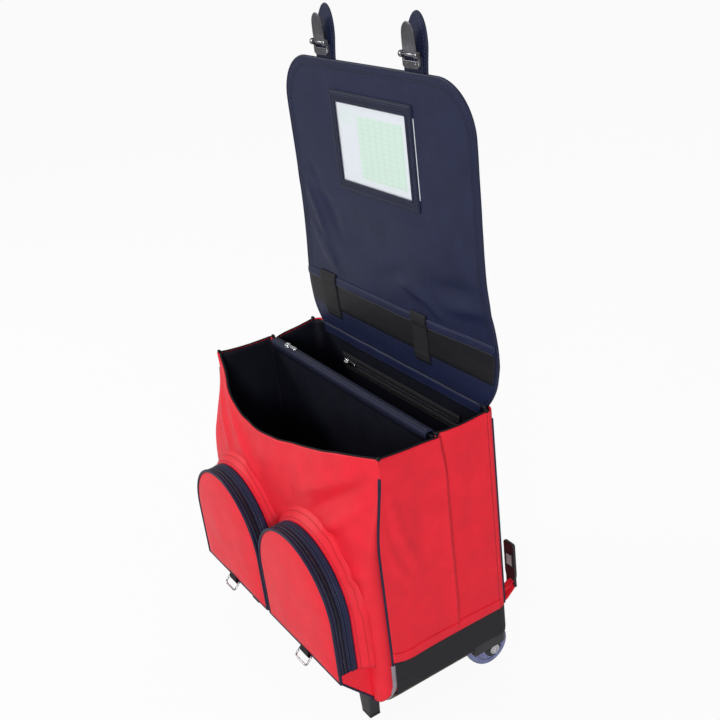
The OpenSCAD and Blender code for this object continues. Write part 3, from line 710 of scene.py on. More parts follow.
def build_body():
    u = np.sin(np.linspace(-np.pi / 2, np.pi / 2, 121)) * 0.6 + np.linspace(-1, 1, 121) * 0.4
    past = np.maximum(HALF_W * (np.abs(u) - 1) + BOTTOM_R, 0)
    low = BOTTOM_Z + 2 * MM + BOTTOM_R - np.sqrt(BOTTOM_R ** 2 - past ** 2)
    front = front_surface(u, rows(low, front_rim_z(u), 80))
    cloth_sheet("front_wall", front, RED, 1.4 * MM, replaces=["front_panel"])
    lips = [front]
    w = np.unique(np.concatenate([np.linspace(0, 1, 61), np.linspace(0.52, 0.64, 37)]))
    for side, name in SIDES:
        red = side_surface(w, rows(red_edge_z(w), side_rim_z(w), 70), side)
        cloth_sheet("gusset_cloth_" + name, red[:, ::side], RED, 1.4 * MM, replaces=["gusset_" + name])
        lips.append(red)
        edge = side_surface(w, red_edge_z(w), side)
        hem = side_surface(w, rows(red_edge_z(w), red_edge_z(w) + 14 * MM, 6), side)
        cloth_sheet("gusset_hem_" + name, (hem + [side * 1.2 * MM, 0, 0])[:, ::side], RED, 1.2 * MM)
        for k, rise in enumerate((3, 11)):
            path = side_surface(w[2:-1], red_edge_z(w[2:-1]) + rise * MM, side)
            stitches(f"gusset_stitches_{name}_{k}", path + [side * 1.7 * MM, 0, 0], (side, 0, 0), RED_THREAD)
        tube("band_seam_" + name, edge + [side * 0.3 * MM, 0, 0], 1.1 * MM, BINDING, slot="base_cloth")
    u = np.linspace(-1, 1, 101)
    back = back_surface(u, np.linspace(BAND_Z, RIM_Z - MM, 50)[:, None])
    cloth_sheet("back_wall", back[:, ::-1], RED, 1.4 * MM, replaces=["back_panel"])
    for k, rise in enumerate((5, 11)):
        path = back_surface(u[4:-4], BAND_Z + rise * MM)
        stitches(f"back_stitches_{k}", path + [0, 0.5 * MM, 0], (0, 1, 0), RED_THREAD)
    tube("band_seam_back", back_surface(u, BAND_Z) + [0, 0.3 * MM, 0], 1.1 * MM, BINDING,
        slot="base_cloth")
    return lips


def build_rim():
    u, w = np.linspace(-1, 1, 90), np.linspace(0, 1, 50)
    for name, path in (("front", front_surface(u, front_rim_z(u))), ("right", side_surface(w, side_rim_z(w), 1)),
            ("left", side_surface(w, side_rim_z(w), -1))):
        tube("rim_binding_" + name, inset(path, 1.2 * MM) + [0, 0, 0.2 * MM], 1.15 * MM, BINDING)
    for side, name in SIDES:
        ends = {"front": inset(side_surface(0.0, RIM_Z, side), 0),
            "middle": side_surface(crease_w(RIM_Z), RIM_Z - 4 * MM, side), "back": side_surface(1.0, RIM_Z, side)}
        for place, top in ends.items():
            for k, shift in enumerate((-1.9, 1.9)):
                start = top + np.array([side * 0.4 * MM, shift * MM, -0.5 * MM])
                reach = 26 if place == "front" else 12
                path = start - xyz(0.0, 0.0, np.linspace(0, reach * MM, 10))
                if place == "front":
                    path = xyz(side * (HALF_W + 0.6 * MM), corner_y(path[:, 2])
                        + shift * MM * np.linspace(1, 0, 10), path[:, 2])
                tube(f"seam_end_{place}_{name}_{k}", path, 1.5 * MM, RED)
            tube(f"seam_cap_{place}_{name}", [top + np.array([-side * 2 * MM, 0, 1.0 * MM]),
                top + np.array([side * 1.6 * MM, 0, 1.0 * MM])], 2.4 * MM, BINDING)


def build_piping():
    z = np.linspace(RIM_Z - 24 * MM, BAND_Z + 3 * MM, 60)
    for side, name in SIDES:
        x = side * (HALF_W + 0.2 * MM)
        path = xyz(x, corner_y(z) - 0.8 * MM, z)
        tube("front_piping_" + name, path, 2.1 * MM, PIPING)
        zb = np.linspace(RIM_Z - 14 * MM, BAND_Z + 2 * MM, 40)
        path = xyz(side * (HALF_W - 2.5 * MM), BACK_Y - 3.0 * MM, zb)
        tube("back_piping_" + name, path, 2.0 * MM, PIPING)
        r = 25 * MM
        low = [(x, SEAM_Y - MM, BAND_Z + 3 * MM)]
        low += [(side * (HALF_W - r * (1 - math.cos(t)) * 0.8), SEAM_Y - 2 * MM - 10 * MM * math.sin(t),
            BOTTOM_Z + r - r * math.sin(t)) for t in np.radians(np.linspace(0, 90, 12))]
        low = resample(low, 3 * MM)
        tube("grey_piping_" + name, low, 3.4 * MM, GREY_PIPING)
        tube("corner_piping_" + name, low + [-side * 4.4 * MM, -1.6 * MM, 1.2 * MM], 1.9 * MM, PIPING)
    u = np.linspace(-0.93, 0.93, 90)
    path = front_surface(u, BOTTOM_Z + 3 * MM) + [0, -0.5 * MM, -2.5 * MM]
    tube("bottom_piping", path, 2.0 * MM, PIPING)


def build_base():
    """The black band round the sides and back, turning under the bag."""
    w, u = np.linspace(0, 1, 60), np.linspace(-1, 1, 100)
    levels = [(BAND_Z + MM, 0.0)]
    levels += [(z, 0.2) for z in np.linspace(BAND_Z - 4 * MM, BOTTOM_Z + BOTTOM_R, 12)]
    for t in np.radians(np.linspace(12, 90, 8)):
        levels.append((BOTTOM_Z + BOTTOM_R * (1 - math.sin(t)), 0.2 + BOTTOM_R / MM * (1 - math.cos(t))))
    levels.append((BOTTOM_Z, 60.0))
    rings = []
    for z, pull in levels:
        ring = np.concatenate([side_surface(w, z, 1), back_surface(u, z)[::-1][1:-1],
            side_surface(w, z, -1)[::-1]], 0)
        if z > BAND_Z:
            ring[: len(w), 2] = red_edge_z(w)
            ring[-len(w):, 2] = red_edge_z(w)[::-1]
        rings.append(inset(ring, pull * MM))
    cloth_sheet("base_cloth", np.array(rings)[::-1], BASE, 1.2 * MM, replaces=["base_cover"])


def build_lining():
    """Black cloth inside: the same walls, a little further in, and a floor."""
    u, w, b = np.linspace(-1, 1, 101), np.linspace(0, 1, 41), np.linspace(-1, 1, 81)
    floor_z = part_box("lining")[0].z + MM

    def ring(t):
        zs = lambda top: floor_z + (top - 1.2 * MM - floor_z) * t
        parts = [front_surface(u, zs(front_rim_z(u))), side_surface(w, zs(side_rim_z(w)), 1)[1:],
            back_surface(b, zs(RIM_Z))[::-1][1:-1], side_surface(w, zs(side_rim_z(w)), -1)[::-1][:-1]]
        return inset(np.concatenate(parts, 0), 3.4 * MM)

    levels = [ring(t) for t in np.linspace(0, 1, 60)]
    floor = [inset(levels[0], k * MM) for k in (180, 90, 30, 8)]
    for level in floor:
        level[:, 2] = floor_z
    points = np.array(floor + levels)
    mesh = grid_mesh("lining_sleeve", points[:, ::-1], wrap=True)
    thicken(add("lining_sleeve", mesh, LINING, replaces=["lining"]), 0.6 * MM, -1)
    strip = b[5:-5]
    facing = np.array([inset(back_surface(strip, z), 4.3 * MM)
        for z in np.linspace(RIM_Z - 17 * MM, RIM_Z - MM, 5)])
    cloth_sheet("back_facing", facing, NAVY, 0.8 * MM)
    stitches("facing_stitches", facing[0] + [0, -1.0 * MM, 2.5 * MM], (0, -1, 0), DARK_THREAD,
        slot="lining_cloth")


def build_divider():
    low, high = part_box("divider")
    x = np.linspace(low.x + 5 * MM, high.x - 5 * MM, 90)
    heights = np.linspace(low.z + MM, high.z, 50)
    grid_x, grid_z = np.meshgrid(x, heights)
    base = xyz(grid_x, DIVIDER_Y, grid_z)
    edge = np.clip((HALF_W - 6 * MM - np.abs(grid_x)) / 0.03, 0, 1) * np.clip((high.z - grid_z) / 0.03, 0, 1)
    wave = edge * (rumple(base, 10, 3.0 * MM, 11.0) + rumple(base, 30, 0.8 * MM, 12.0))
    base[..., 1] += wave - 1.9 * MM
    cloth_sheet("divider_cloth", base, LINING, 3.8 * MM, -1, replaces=["divider"])
    zip_low, zip_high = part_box("divider_zip")
    tape_top = zip_high.z - 1.5 * MM
    half = (zip_high.y - zip_low.y) / 2
    profile = [(-1.0, -15), (-1.02, -3), (-0.98, -1.2), (-0.8, -0.2), (-0.3, 0), (0.3, 0), (0.8, -0.2),
        (0.98, -1.2), (1.02, -3), (1.0, -15)]
    xs = np.linspace(zip_low.x, zip_high.x, 120)
    tape = np.array([xyz(xs, DIVIDER_Y + half * p * (0.62 if q < -10 else 1), tape_top + q * MM)
        for p, q in profile])
    cloth_sheet("divider_tape", tape, TAPE, 0.6 * MM, replaces=["divider_zip"])
    line = [(zip_low.x + 4 * MM, DIVIDER_Y, tape_top), (zip_high.x - 4 * MM, DIVIDER_Y, tape_top)]
    zip_teeth("divider_teeth", line, (0, 0, 1))
    for k, y in enumerate((-1, 1)):
        path = [(p[0], DIVIDER_Y + y * half * 0.78, tape_top - 0.1 * MM) for p in line]
        stitches(f"divider_stitches_{k}", path, (0, 0, 1), NAVY_THREAD)


# ---------------------------------------------------------------- front pockets
POCKETS = {}
for _side in ("left", "right"):
    _low, _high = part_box("pocket_panel_" + _side)
    _centre = pivot("pocket_zip_run_" + _side)
    POCKETS[_side] = {"x": (_low.x + _high.x) / 2, "z": _centre.z, "r": (_high.x - _low.x) / 2}
POCKET_BOTTOM = pivot("loop_swing_left").z + 3.4 * MM  # lower edge of the faces, over the loops' pivots
ZIP_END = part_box("pocket_zip_right")[0].z
BAND_DEPTH = 27                      # millimetres from a pocket's face to the back of its navy band
TEETH_DEPTH = 10                     # millimetres from the face to the zip's teeth
FLARE = 16 * MM                      # spread of the red strip between the band and the wall


def arch_outline(pocket, r, low, n=64):
    """Points up the left side, round the arch and down the right side, as (x, z)."""
    x, z = pocket["x"], pocket["z"]
    legs = np.linspace(low, z, 16)[:-1]
    return np.array([(x - r, h) for h in legs] + arc(x, z, r, 180, 0, n) + [(x + r, h) for h in legs[::-1]])


def wall_y(x, z):
    """Where the front wall is behind a point of a pocket's outline."""
    return front_surface(np.clip(x / HALF_W, -0.999, 0.999), z)[..., 1]


def build_pocket(name):
    pocket = POCKETS[name]
    r = pocket["r"]
    outline = arch_outline(pocket, r - 1.2 * MM, POCKET_BOTTOM)
    bottom_x = np.linspace(outline[-1][0], outline[0][0], 30)[1:-1]
    loop = np.concatenate([outline, np.stack([bottom_x, bottom_x * 0 + POCKET_BOTTOM], 1)], 0)
    centre = np.array([pocket["x"], (pocket["z"] + POCKET_BOTTOM) / 2 + 8 * MM])
    points = []
    for share in np.sin(np.linspace(0.02, 1, 26) * np.pi / 2):
        flat = centre + (loop - centre) * share
        dome = 6.5 * MM * (1 - share ** 3.2) + 1.4 * MM * (1 - share ** 14)
        p = xyz(flat[:, 0], FACE_Y + 0.8 * MM - dome, flat[:, 1])
        p[:, 1] -= rumple(p, 22, 1.6 * MM, 15.0) * (1 - share ** 6)
        points.append(p)
    mesh = grid_mesh("pocket_face_" + name, np.array(points)[:, ::-1], wrap=True)
    bm = bmesh.new()
    bm.from_mesh(mesh)
    bm.verts.ensure_lookup_table()
    bm.faces.new(bm.verts[: len(loop)])
    bmesh.ops.recalc_face_normals(bm, faces=bm.faces)
    bm.to_mesh(mesh)
    bm.free()
    uv = mesh.uv_layers[0].data
    for loop_item in mesh.loops:
        co = mesh.vertices[loop_item.vertex_index].co
        uv[loop_item.index].uv = (co.x, co.z)
    thicken(add("pocket_face_" + name, mesh, RED, replaces=["pocket_panel_" + name]), 1.4 * MM, -1)
    around = xyz(loop[:, 0], FACE_Y + 0.6 * MM, loop[:, 1])
    tube("pocket_piping_" + name, around, 2.2 * MM, PIPING, closed=True)
    build_zip_band(name, pocket, r)
    build_gusset(name, pocket, r)


def build_zip_band(name, pocket, r):
    """The navy band with the zip, then a red strip that flares to the wall."""
    line = arch_outline(pocket, r, ZIP_END, 80)
    away = line - np.array([pocket["x"], pocket["z"]])
    away[:, 1] = np.maximum(away[:, 1], 0)
    away /= np.linalg.norm(away, axis=1)[:, None]
    out = xyz(away[:, 0], 0.0, away[:, 1])

    def ring(depth, lift):
        """The band's line at a depth behind the face, moved outwards by lift; both in millimetres."""
        p = line + away * lift * MM
        return xyz(p[:, 0], FACE_Y + depth * MM, p[:, 1])

    strips = [((1.6, 2.8, 6.4, 7.6), (-1.5, -0.6, -0.6, -1.2), TAPE, "front_tape"),
        ((12.4, 13.6, 17.0, 18.6), (-1.2, -0.6, -0.6, -1.5), TAPE, "back_tape"),
        ((17.4, 19.0, 23.0, BAND_DEPTH), (0.0, 0.4, 0.5, 0.2), NAVY, "cloth")]
    for depths, lifts, material, part in strips:
        grid = np.array([ring(d, k) for d, k in zip(depths, lifts)])
        cloth_sheet(f"pocket_{part}_{name}", grid[:, ::-1], material, 1.2 * MM,
            replaces=["pocket_zip_" + name] if part == "front_tape" else ())
    zip_teeth("pocket_teeth_" + name, ring(TEETH_DEPTH, -1.4), out, width=4.6 * MM)
    for k, (depth, lift) in enumerate(((4.2, 0.0), (15.6, 0.0), (22.0, 1.1))):
        stitches(f"pocket_band_stitches_{k}_{name}", ring(depth, lift), out, NAVY_THREAD)

    def flare(share):
        """The line between the band, 0, and the wall, 1, kept off the bag's middle and corner."""
        p = line + away * FLARE * share
        side = np.sign(pocket["x"])
        p[:, 0] = side * np.clip(side * p[:, 0], 0.8 * MM, HALF_W - 6 * MM)
        near = FACE_Y + (BAND_DEPTH - 1.5) * MM
        y = near + (wall_y(p[:, 0], p[:, 1]) - near) * share
        return xyz(p[:, 0], y, p[:, 1])

    grid = np.array([flare(s) for s in np.linspace(0, 1, 7)])
    cloth_sheet("pocket_flare_" + name, grid[:, ::-1], RED, 1.0 * MM)
    for k, share in enumerate((0.22, 0.62)):
        path = flare(share) + out * 0.4 * MM + [0, -0.6 * MM, 0]
        stitches(f"pocket_flare_stitches_{k}_{name}", path, out - [0, 0.5, 0], RED_THREAD)


def build_gusset(name, pocket, r):
    """The red sides and sloping underside below the zip."""
    x0, x1 = pocket["x"] - r + MM, pocket["x"] + r - MM
    foot_z = BOTTOM_Z + 3 * MM
    for side, x in (("a", x0), ("b", x1)):
        t, k = np.linspace(0, 1, 12)[:, None], np.linspace(0, 1, 8)
        back = wall_y(x, ZIP_END) + MM
        slope_z = foot_z + (POCKET_BOTTOM - foot_z) * t
        points = xyz(x, back + (FACE_Y + MM - back) * t, slope_z + (ZIP_END + MM - slope_z) * k)
        cloth_sheet(f"pocket_side_{side}_{name}", points if side == "b" else points[:, ::-1], RED, 1.0 * MM)
        tube(f"pocket_side_piping_{side}_{name}", points[:, 0] + [0, 0, 0.6 * MM], 1.9 * MM, PIPING)
    xs, t = np.linspace(x0, x1, 50), np.linspace(0, 1, 14)[:, None]
    back = wall_y(xs, foot_z) + 0.5 * MM
    z = POCKET_BOTTOM + (foot_z - POCKET_BOTTOM) * t + 3 * MM * np.sin(math.pi * t)
    cloth_sheet("pocket_under_" + name, xyz(xs, FACE_Y + MM + (back - FACE_Y - MM) * t, z), RED, 1.0 * MM)


build_body()
build_rim()
build_piping()
build_base()
build_lining()
build_divider()
for _side in POCKETS:
    build_pocket(_side)


# ---------------------------------------------------------------- flap
FLAP_LENGTH = FLAP_TOP - HINGE.z
FOLD_S = FOLD.z - HINGE.z
MESH_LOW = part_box("mesh_pocket")[0].z - HINGE.z
MESH_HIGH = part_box("mesh_pocket")[1].z - HINGE.z
MESH_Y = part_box("mesh_pocket")[0].y
CORNER_R = 60 * MM                   # the flap's upper corners
BINDING_H = 14 * MM                  # navy binding over the mesh band


def flap_half(s):
    """Half the flap's width at a distance s from the hinge."""
    s = np.asarray(s, float)
    over = np.clip(s - (FLAP_LENGTH - CORNER_R), 0, CORNER_R)
    rounded = CORNER_R - np.sqrt(np.maximum(CORNER_R ** 2 - over ** 2, 0))
    foot = 15 * MM * np.clip(1 - (s + 8 * MM) / (38 * MM), 0, 1) ** 2
    return FLAP_W - rounded - foot


FLAP_FOLDS = (
    ((0.030, 0.118), (0.085, 0.104), 0.008, 3.0), ((0.078, 0.108), (0.118, 0.085), 0.007, 2.0),
    ((0.125, 0.105), (0.205, 0.118), 0.009, 2.6), ((0.095, 0.125), (0.190, 0.140), 0.012, -2.2),
    ((-0.02, 0.110), (0.060, 0.135), 0.012, -2.0), ((-0.190, 0.225), (-0.140, 0.130), 0.008, 3.2),
    ((-0.175, 0.150), (-0.120, 0.085), 0.009, 3.6), ((-0.165, 0.240), (-0.105, 0.150), 0.010, -3.0))


def flap_at(x, s, y=None):
    """A point of the flap at rest: x across, s up from the hinge, y its plane (the inner face by default)."""
    x, s = np.broadcast_arrays(np.asarray(x, float), np.asarray(s, float))
    base = xyz(x, 0.3, s)
    calm = np.clip(s / 0.05, 0, 1)
    bow = 6 * MM * smooth(x, 0.09, 0.20) * np.exp(-(((s - 0.06) / 0.07) ** 2)) * calm
    wave = rumple(base, 6, 2.4 * MM, 21.0) + rumple(base, 17, 0.9 * MM, 22.0)
    flat = 1 - np.exp(-((np.abs(s - FOLD_S) / 0.012) ** 2)) * 0.9
    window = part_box("window_frame")
    inside = smooth(x, window[0].x - 0.03, window[0].x) * (1 - smooth(x, window[1].x, window[1].x + 0.03))
    inside = inside * smooth(s, window[0].z - HINGE.z - 0.02, window[0].z - HINGE.z)
    shift = calm * (wave * (1 - 0.85 * inside) - folds(x, s, FLAP_FOLDS)) * flat
    plane = FLAP_IN if y is None else y
    px = x + np.sign(x) * 8 * MM * np.clip(np.abs(x) / FLAP_W, 0, 1) ** 2 * np.exp(-(((s - 0.055) / 0.06) ** 2))
    return xyz(px, plane + np.clip(shift, -3 * MM, 3 * MM) + bow, HINGE.z + s)


def flap_band(s0, s1, n, x0=-1.0, x1=1.0, y=None, cols=90):
    """A grid over the flap between two heights, x0 and x1 in shares of its half width."""
    s = np.linspace(s0, s1, n)[:, None]
    return flap_at(flap_half(s) * np.linspace(x0, x1, cols)[None], s, y)


def flap_blend(piece, s):
    """Bakes the piece's placement into its mesh, the same way for fabric at the hinge and at the fold."""
    if s == "hinge":
        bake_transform(piece)
    else:
        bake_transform(piece)


def flap_sheet(name, points, where, material, thickness, replaces=()):
    flap_blend(cloth_sheet(name, points, material, thickness, -1, body=None, replaces=replaces), where)


def flap_line(name, x, s, where, lift=0.5 * MM, material=DARK_THREAD, step=4.2 * MM):
    path = flap_at(x, s) + [0, -lift, 0]
    stitch = lozenge(2.9 * MM, 0.7 * MM, 0.3 * MM)
    line = many(name, along_path(path, (0, -1, 0), step), stitch, material, body=None, slot="navy_cloth")
    flap_blend(line, where)


def build_flap():
    thick = FLAP_OUT - FLAP_IN
    seam = MESH_HIGH - 2 * MM
    low = flap_band(-12 * MM, seam, 40)
    low[..., 1] += 0.5 * MM * (1 - smooth(low[..., 2], HINGE.z - 0.012, HINGE.z + 0.01))
    flap_sheet("flap_foot", low, "hinge", NAVY, thick, ["flap_lower"])
    s = np.concatenate([np.linspace(seam, FLAP_LENGTH - CORNER_R, 110),
        FLAP_LENGTH - CORNER_R + CORNER_R * np.sin(np.linspace(0.06, 1, 26) * np.pi / 2)])[:, None]
    high = flap_at(flap_half(s) * np.linspace(-1, 1, 110)[None], s)
    flap_sheet("flap_body", high, "fold", NAVY, thick, ["flap_upper"])
    rim_s = np.concatenate([np.linspace(seam, FLAP_LENGTH - CORNER_R, 90),
        FLAP_LENGTH - CORNER_R + CORNER_R * np.sin(np.linspace(0.02, 1, 24) * np.pi / 2)])
    top_x = np.linspace(-1, 1, 40)[1:-1] * float(flap_half(FLAP_LENGTH))
    edge = np.concatenate([np.stack([flap_half(rim_s), rim_s], 1), np.stack([top_x[::-1],
        top_x * 0 + FLAP_LENGTH], 1), np.stack([-flap_half(rim_s[::-1]), rim_s[::-1]], 1)])
    rim = flap_at(edge[:, 0], edge[:, 1], (FLAP_IN + FLAP_OUT) / 2)
    flap_blend(tube("flap_rim", rim, 2.1 * MM, NAVY_DARK, body=None), "fold")
    foot_s = np.linspace(-10 * MM, seam, 30)
    for side, name in SIDES:
        path = flap_at(side * flap_half(foot_s), foot_s, (FLAP_IN + FLAP_OUT) / 2)
        flap_blend(tube("flap_foot_rim_" + name, path, 2.1 * MM, NAVY_DARK, body=None), "hinge")
    for k, inset_by in enumerate((7 * MM, 10 * MM)):
        shrink = 1 - inset_by / FLAP_W
        centre_s = FLAP_LENGTH / 2
        line = edge.copy()
        line[:, 0] *= shrink
        line[:, 1] = np.minimum(line[:, 1], centre_s + (line[:, 1] - centre_s) * (1 - inset_by / centre_s))
        keep = line[:, 1] > MESH_HIGH + 4 * MM
        flap_line(f"flap_edge_stitches_{k}", line[keep, 0], line[keep, 1], "fold")


def build_mesh_pocket():
    """The black mesh band, its navy binding and the two webbing tabs over it."""
    mesh_top = MESH_HIGH - BINDING_H
    band = flap_band(MESH_LOW, mesh_top + 2 * MM, 16, -0.985, 0.985, MESH_Y)
    band[..., 1] += 2 * MM * np.exp(-(((band[..., 2] - HINGE.z - MESH_LOW) / 0.004) ** 2))
    flap_sheet("mesh_band", band, "hinge", MESH, 1.0 * MM, ["mesh_pocket"])
    grid = []
    for k, (s, lift) in enumerate(((mesh_top, 0.3), (mesh_top + 1.5 * MM, 1.6), (mesh_top + BINDING_H / 2, 2.1),
            (MESH_HIGH - 1.5 * MM, 1.6), (MESH_HIGH, 0.0))):
        grid.append(flap_at(flap_half(s) * np.linspace(-1, 1, 90), s) - [0, lift * MM, 0])
    flap_sheet("mesh_binding", np.array(grid), "hinge", NAVY, 1.0 * MM)
    x = np.linspace(-0.985, 0.985, 120) * float(flap_half(MESH_HIGH))
    for k, s in enumerate((mesh_top + 2.6 * MM, mesh_top + 5.2 * MM, MESH_HIGH - 2.6 * MM)):
        flap_line(f"mesh_binding_stitches_{k}", x, s, "hinge", 2.3 * MM, NAVY_THREAD)
    flap_line("mesh_low_stitches", x, MESH_LOW + 2 * MM, "hinge", 1.9 * MM)
    for n, (x0, x1) in enumerate(tab_spans("webbing_tabs")):
        s = np.concatenate([np.linspace(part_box("webbing_tabs")[0].z - HINGE.z - 4 * MM, mesh_top, 14),
            np.linspace(mesh_top + 2 * MM, MESH_HIGH + 4 * MM, 10)])
        lift = np.interp(s, [s[0], MESH_LOW, mesh_top, mesh_top + 4 * MM, MESH_HIGH - 2 * MM,
            MESH_HIGH + 4 * MM], [0.5 * MM, 2.0 * MM, 2.2 * MM, 3.6 * MM, 3.2 * MM, 1.0 * MM])
        xs = np.linspace(x0, x1, 14)
        grid = flap_at(xs[None], s[:, None])
        grid[..., 1] -= lift[:, None]
        flap_sheet(f"webbing_{n}", grid, "hinge", WEBBING, 1.3 * MM, () if n else ["webbing_tabs"])
        for k, (at, tack_lift) in enumerate(((s[-1] - 3 * MM, 1.9), (s[-1] - 7 * MM, 3.6), (s[1] + 2 * MM, 2.4))):
            bar = np.linspace(x0 + 3 * MM, x1 - 3 * MM, 20)
            flap_line(f"bar_tack_{n}_{k}", bar, at, "hinge", tack_lift * MM, DARK_THREAD, 2.2 * MM)


def tab_spans(node):
    """The spans along X of a node's separate pieces, left to right."""
    xs = sorted({round(v.co.x, 4) for v in frame["nodes"][node].data.vertices})
    cuts = [0] + [i + 1 for i in range(len(xs) - 1) if xs[i + 1] - xs[i] > 0.05] + [len(xs)]
    groups = [xs[a:b] for a, b in zip(cuts, cuts[1:])]
    if len(groups) < 2 or any(len(g) < 2 for g in groups):
        groups = [xs[: len(xs) // 2], xs[len(xs) // 2:]]
    return [(g[0], g[-1]) for g in groups]


def rounded_rect(low, high, r, n=5):
    (x0, s0), (x1, s1) = low, high
    return np.array(arc(x1 - r, s1 - r, r, 0, 90, n) + arc(x0 + r, s1 - r, r, 90, 180, n)
        + arc(x0 + r, s0 + r, r, 180, 270, n) + arc(x1 - r, s0 + r, r, 270, 360, n))


def build_window():
    """The timetable window: a padded navy frame, clear film and the card behind it."""
    low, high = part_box("window_frame")
    clear_low, clear_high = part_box("window_film")
    out = ((low.x, low.z - HINGE.z), (high.x, high.z - HINGE.z))
    inn = ((clear_low.x, clear_low.z - HINGE.z), (clear_high.x, clear_high.z - HINGE.z))
    profile = [(0.0, 0.1), (0.03, 1.2), (0.12, 1.9), (0.35, 2.2), (0.65, 2.2), (0.86, 2.0), (0.96, 1.6), (1.0, 0.5)]
    outer, inner = rounded_rect(*out, 2.5 * MM), rounded_rect(*inn, 1.5 * MM)

    def line(share, lift):
        """The frame's outline from its outer edge, 0, to its inner one, 1, lift millimetres proud."""
        p = outer * (1 - share) + inner * share
        return xyz(p[:, 0], FLAP_IN - lift * MM, HINGE.z + p[:, 1])

    rings = [line(share, lift) for share, lift in profile]
    mesh = grid_mesh("window_border", np.array(rings), wrap=True)
    border = add("window_border", mesh, FRAME_CLOTH, body="flap_front", replaces=["window_frame"])
    m = border.modifiers.new("sub", "SUBSURF")
    m.levels = m.render_levels = 1
    finished(border)
    for k, (share, lift) in enumerate(((0.12, 2.2), (0.30, 2.6), (0.82, 2.5))):
        path = line(share, lift)
        path = np.concatenate([path, path[:1]], 0)
        stitches(f"window_stitches_{k}", path, (0, -1, 0), NAVY_THREAD, step=3.4 * MM, size=2.3 * MM,
            body="flap_front", slot="frame_cloth")
    for name, box2, r, lift in (("outer", out, 1.3, 0.6), ("inner", inn, 1.1, 1.7)):
        p = rounded_rect(*box2, 2 * MM)
        path = xyz(p[:, 0], FLAP_IN - lift * MM, HINGE.z + p[:, 1])
        tube("window_piping_" + name, path, r * MM, FRAME_CLOTH, closed=True, body="flap_front")
    u, v = np.meshgrid(np.linspace(0, 1, 40), np.linspace(0, 1, 30))
    flat = xyz(clear_low.x - MM + u * (clear_high.x - clear_low.x + 2 * MM), 0.0,
        clear_low.z - MM + v * (clear_high.z - clear_low.z + 2 * MM))
    card = flat.copy()
    card[..., 1] = FLAP_IN - 0.4 * MM + rumple(flat, 12, 0.15 * MM, 31.0)
    cloth_sheet("card_sheet", card, CARD, 0.3 * MM, -1, np.stack([u, v], 2), body="flap_front",
        replaces=["timetable_card"])
    film = flat.copy()
    film[..., 1] = FLAP_IN - 1.2 * MM - rumple(flat, 16, 0.35 * MM, 33.0)
    cloth_sheet("film_sheet", film, FILM, 0.2 * MM, -1, body="flap_front", replaces=["window_film"])
    # A thin white line just right of the frame, drawn in the card's white: a painted highlight along the clear
    # film's edge.
    x = high.x + 2.6 * MM
    path = [(x, FLAP_IN - 0.6 * MM, z) for z in np.linspace(clear_low.z + 4 * MM, clear_high.z - 2 * MM, 30)]
    tube("painted_film_edge_highlight", path, 0.55 * MM, CARD, body="flap_front")


# ---------------------------------------------------------------- straps and clasps
def span(node):
    """A node's box, with its middle and half width along X."""
    low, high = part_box(node)
    return low, high, (low.x + high.x) / 2, (high.x - low.x) / 2


def build_straps():
    for _, name in SIDES:
        low, high, x, half = span("strap_" + name)
        tip, point = high.z, 40 * MM
        z = np.concatenate([np.linspace(low.z, tip - point, 40), tip - point
            + point * np.sin(np.linspace(0.05, 1, 18) * np.pi / 2)])
        over = np.clip((z - (tip - point)) / point, 0, 1)
        width = half * np.sqrt(np.maximum(1 - over ** 1.5, 0.004))
        u = np.linspace(-1, 1, 15)
        back = 8 * MM * smooth(z, FLAP_TOP - 10 * MM, tip + 10 * MM)
        crown = 0.5 * MM * (1 - u[None] ** 4)
        grid = xyz(x + width[:, None] * u, low.y - crown + back[:, None], z[:, None])
        cloth_sheet("tongue_" + name, grid, NAVY, high.y - low.y, -1, body="flap_front", replaces=["strap_" + name])
        edge = np.concatenate([xyz(x - width, low.y + 1.2 * MM + back, z),
            xyz(x + width, low.y + 1.2 * MM + back, z)[::-1]])
        tube("tongue_rim_" + name, edge, 1.5 * MM, NAVY_DARK, body="flap_front")
        line = np.concatenate([xyz(x - width + 3 * MM, low.y - 0.7 * MM + back, z)[:-3],
            xyz(x + width - 3 * MM, low.y - 0.7 * MM + back, z)[::-1][3:]])
        stitches("tongue_stitches_" + name, line, (0, -1, 0), NAVY_THREAD, body="flap_front", slot="navy_cloth")
    low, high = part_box("clasp_tabs")
    for n, (x0, x1) in enumerate(tab_spans("clasp_tabs")):
        grid = xyz(np.linspace(x0, x1, 12), low.y + 0.2 * MM, np.linspace(low.z, high.z, 20)[:, None])
        cloth_sheet(f"clasp_web_{n}", grid, NAVY_DARK, high.y - low.y, -1, body="flap_front",
            replaces=["clasp_tabs"] if n == 0 else ())


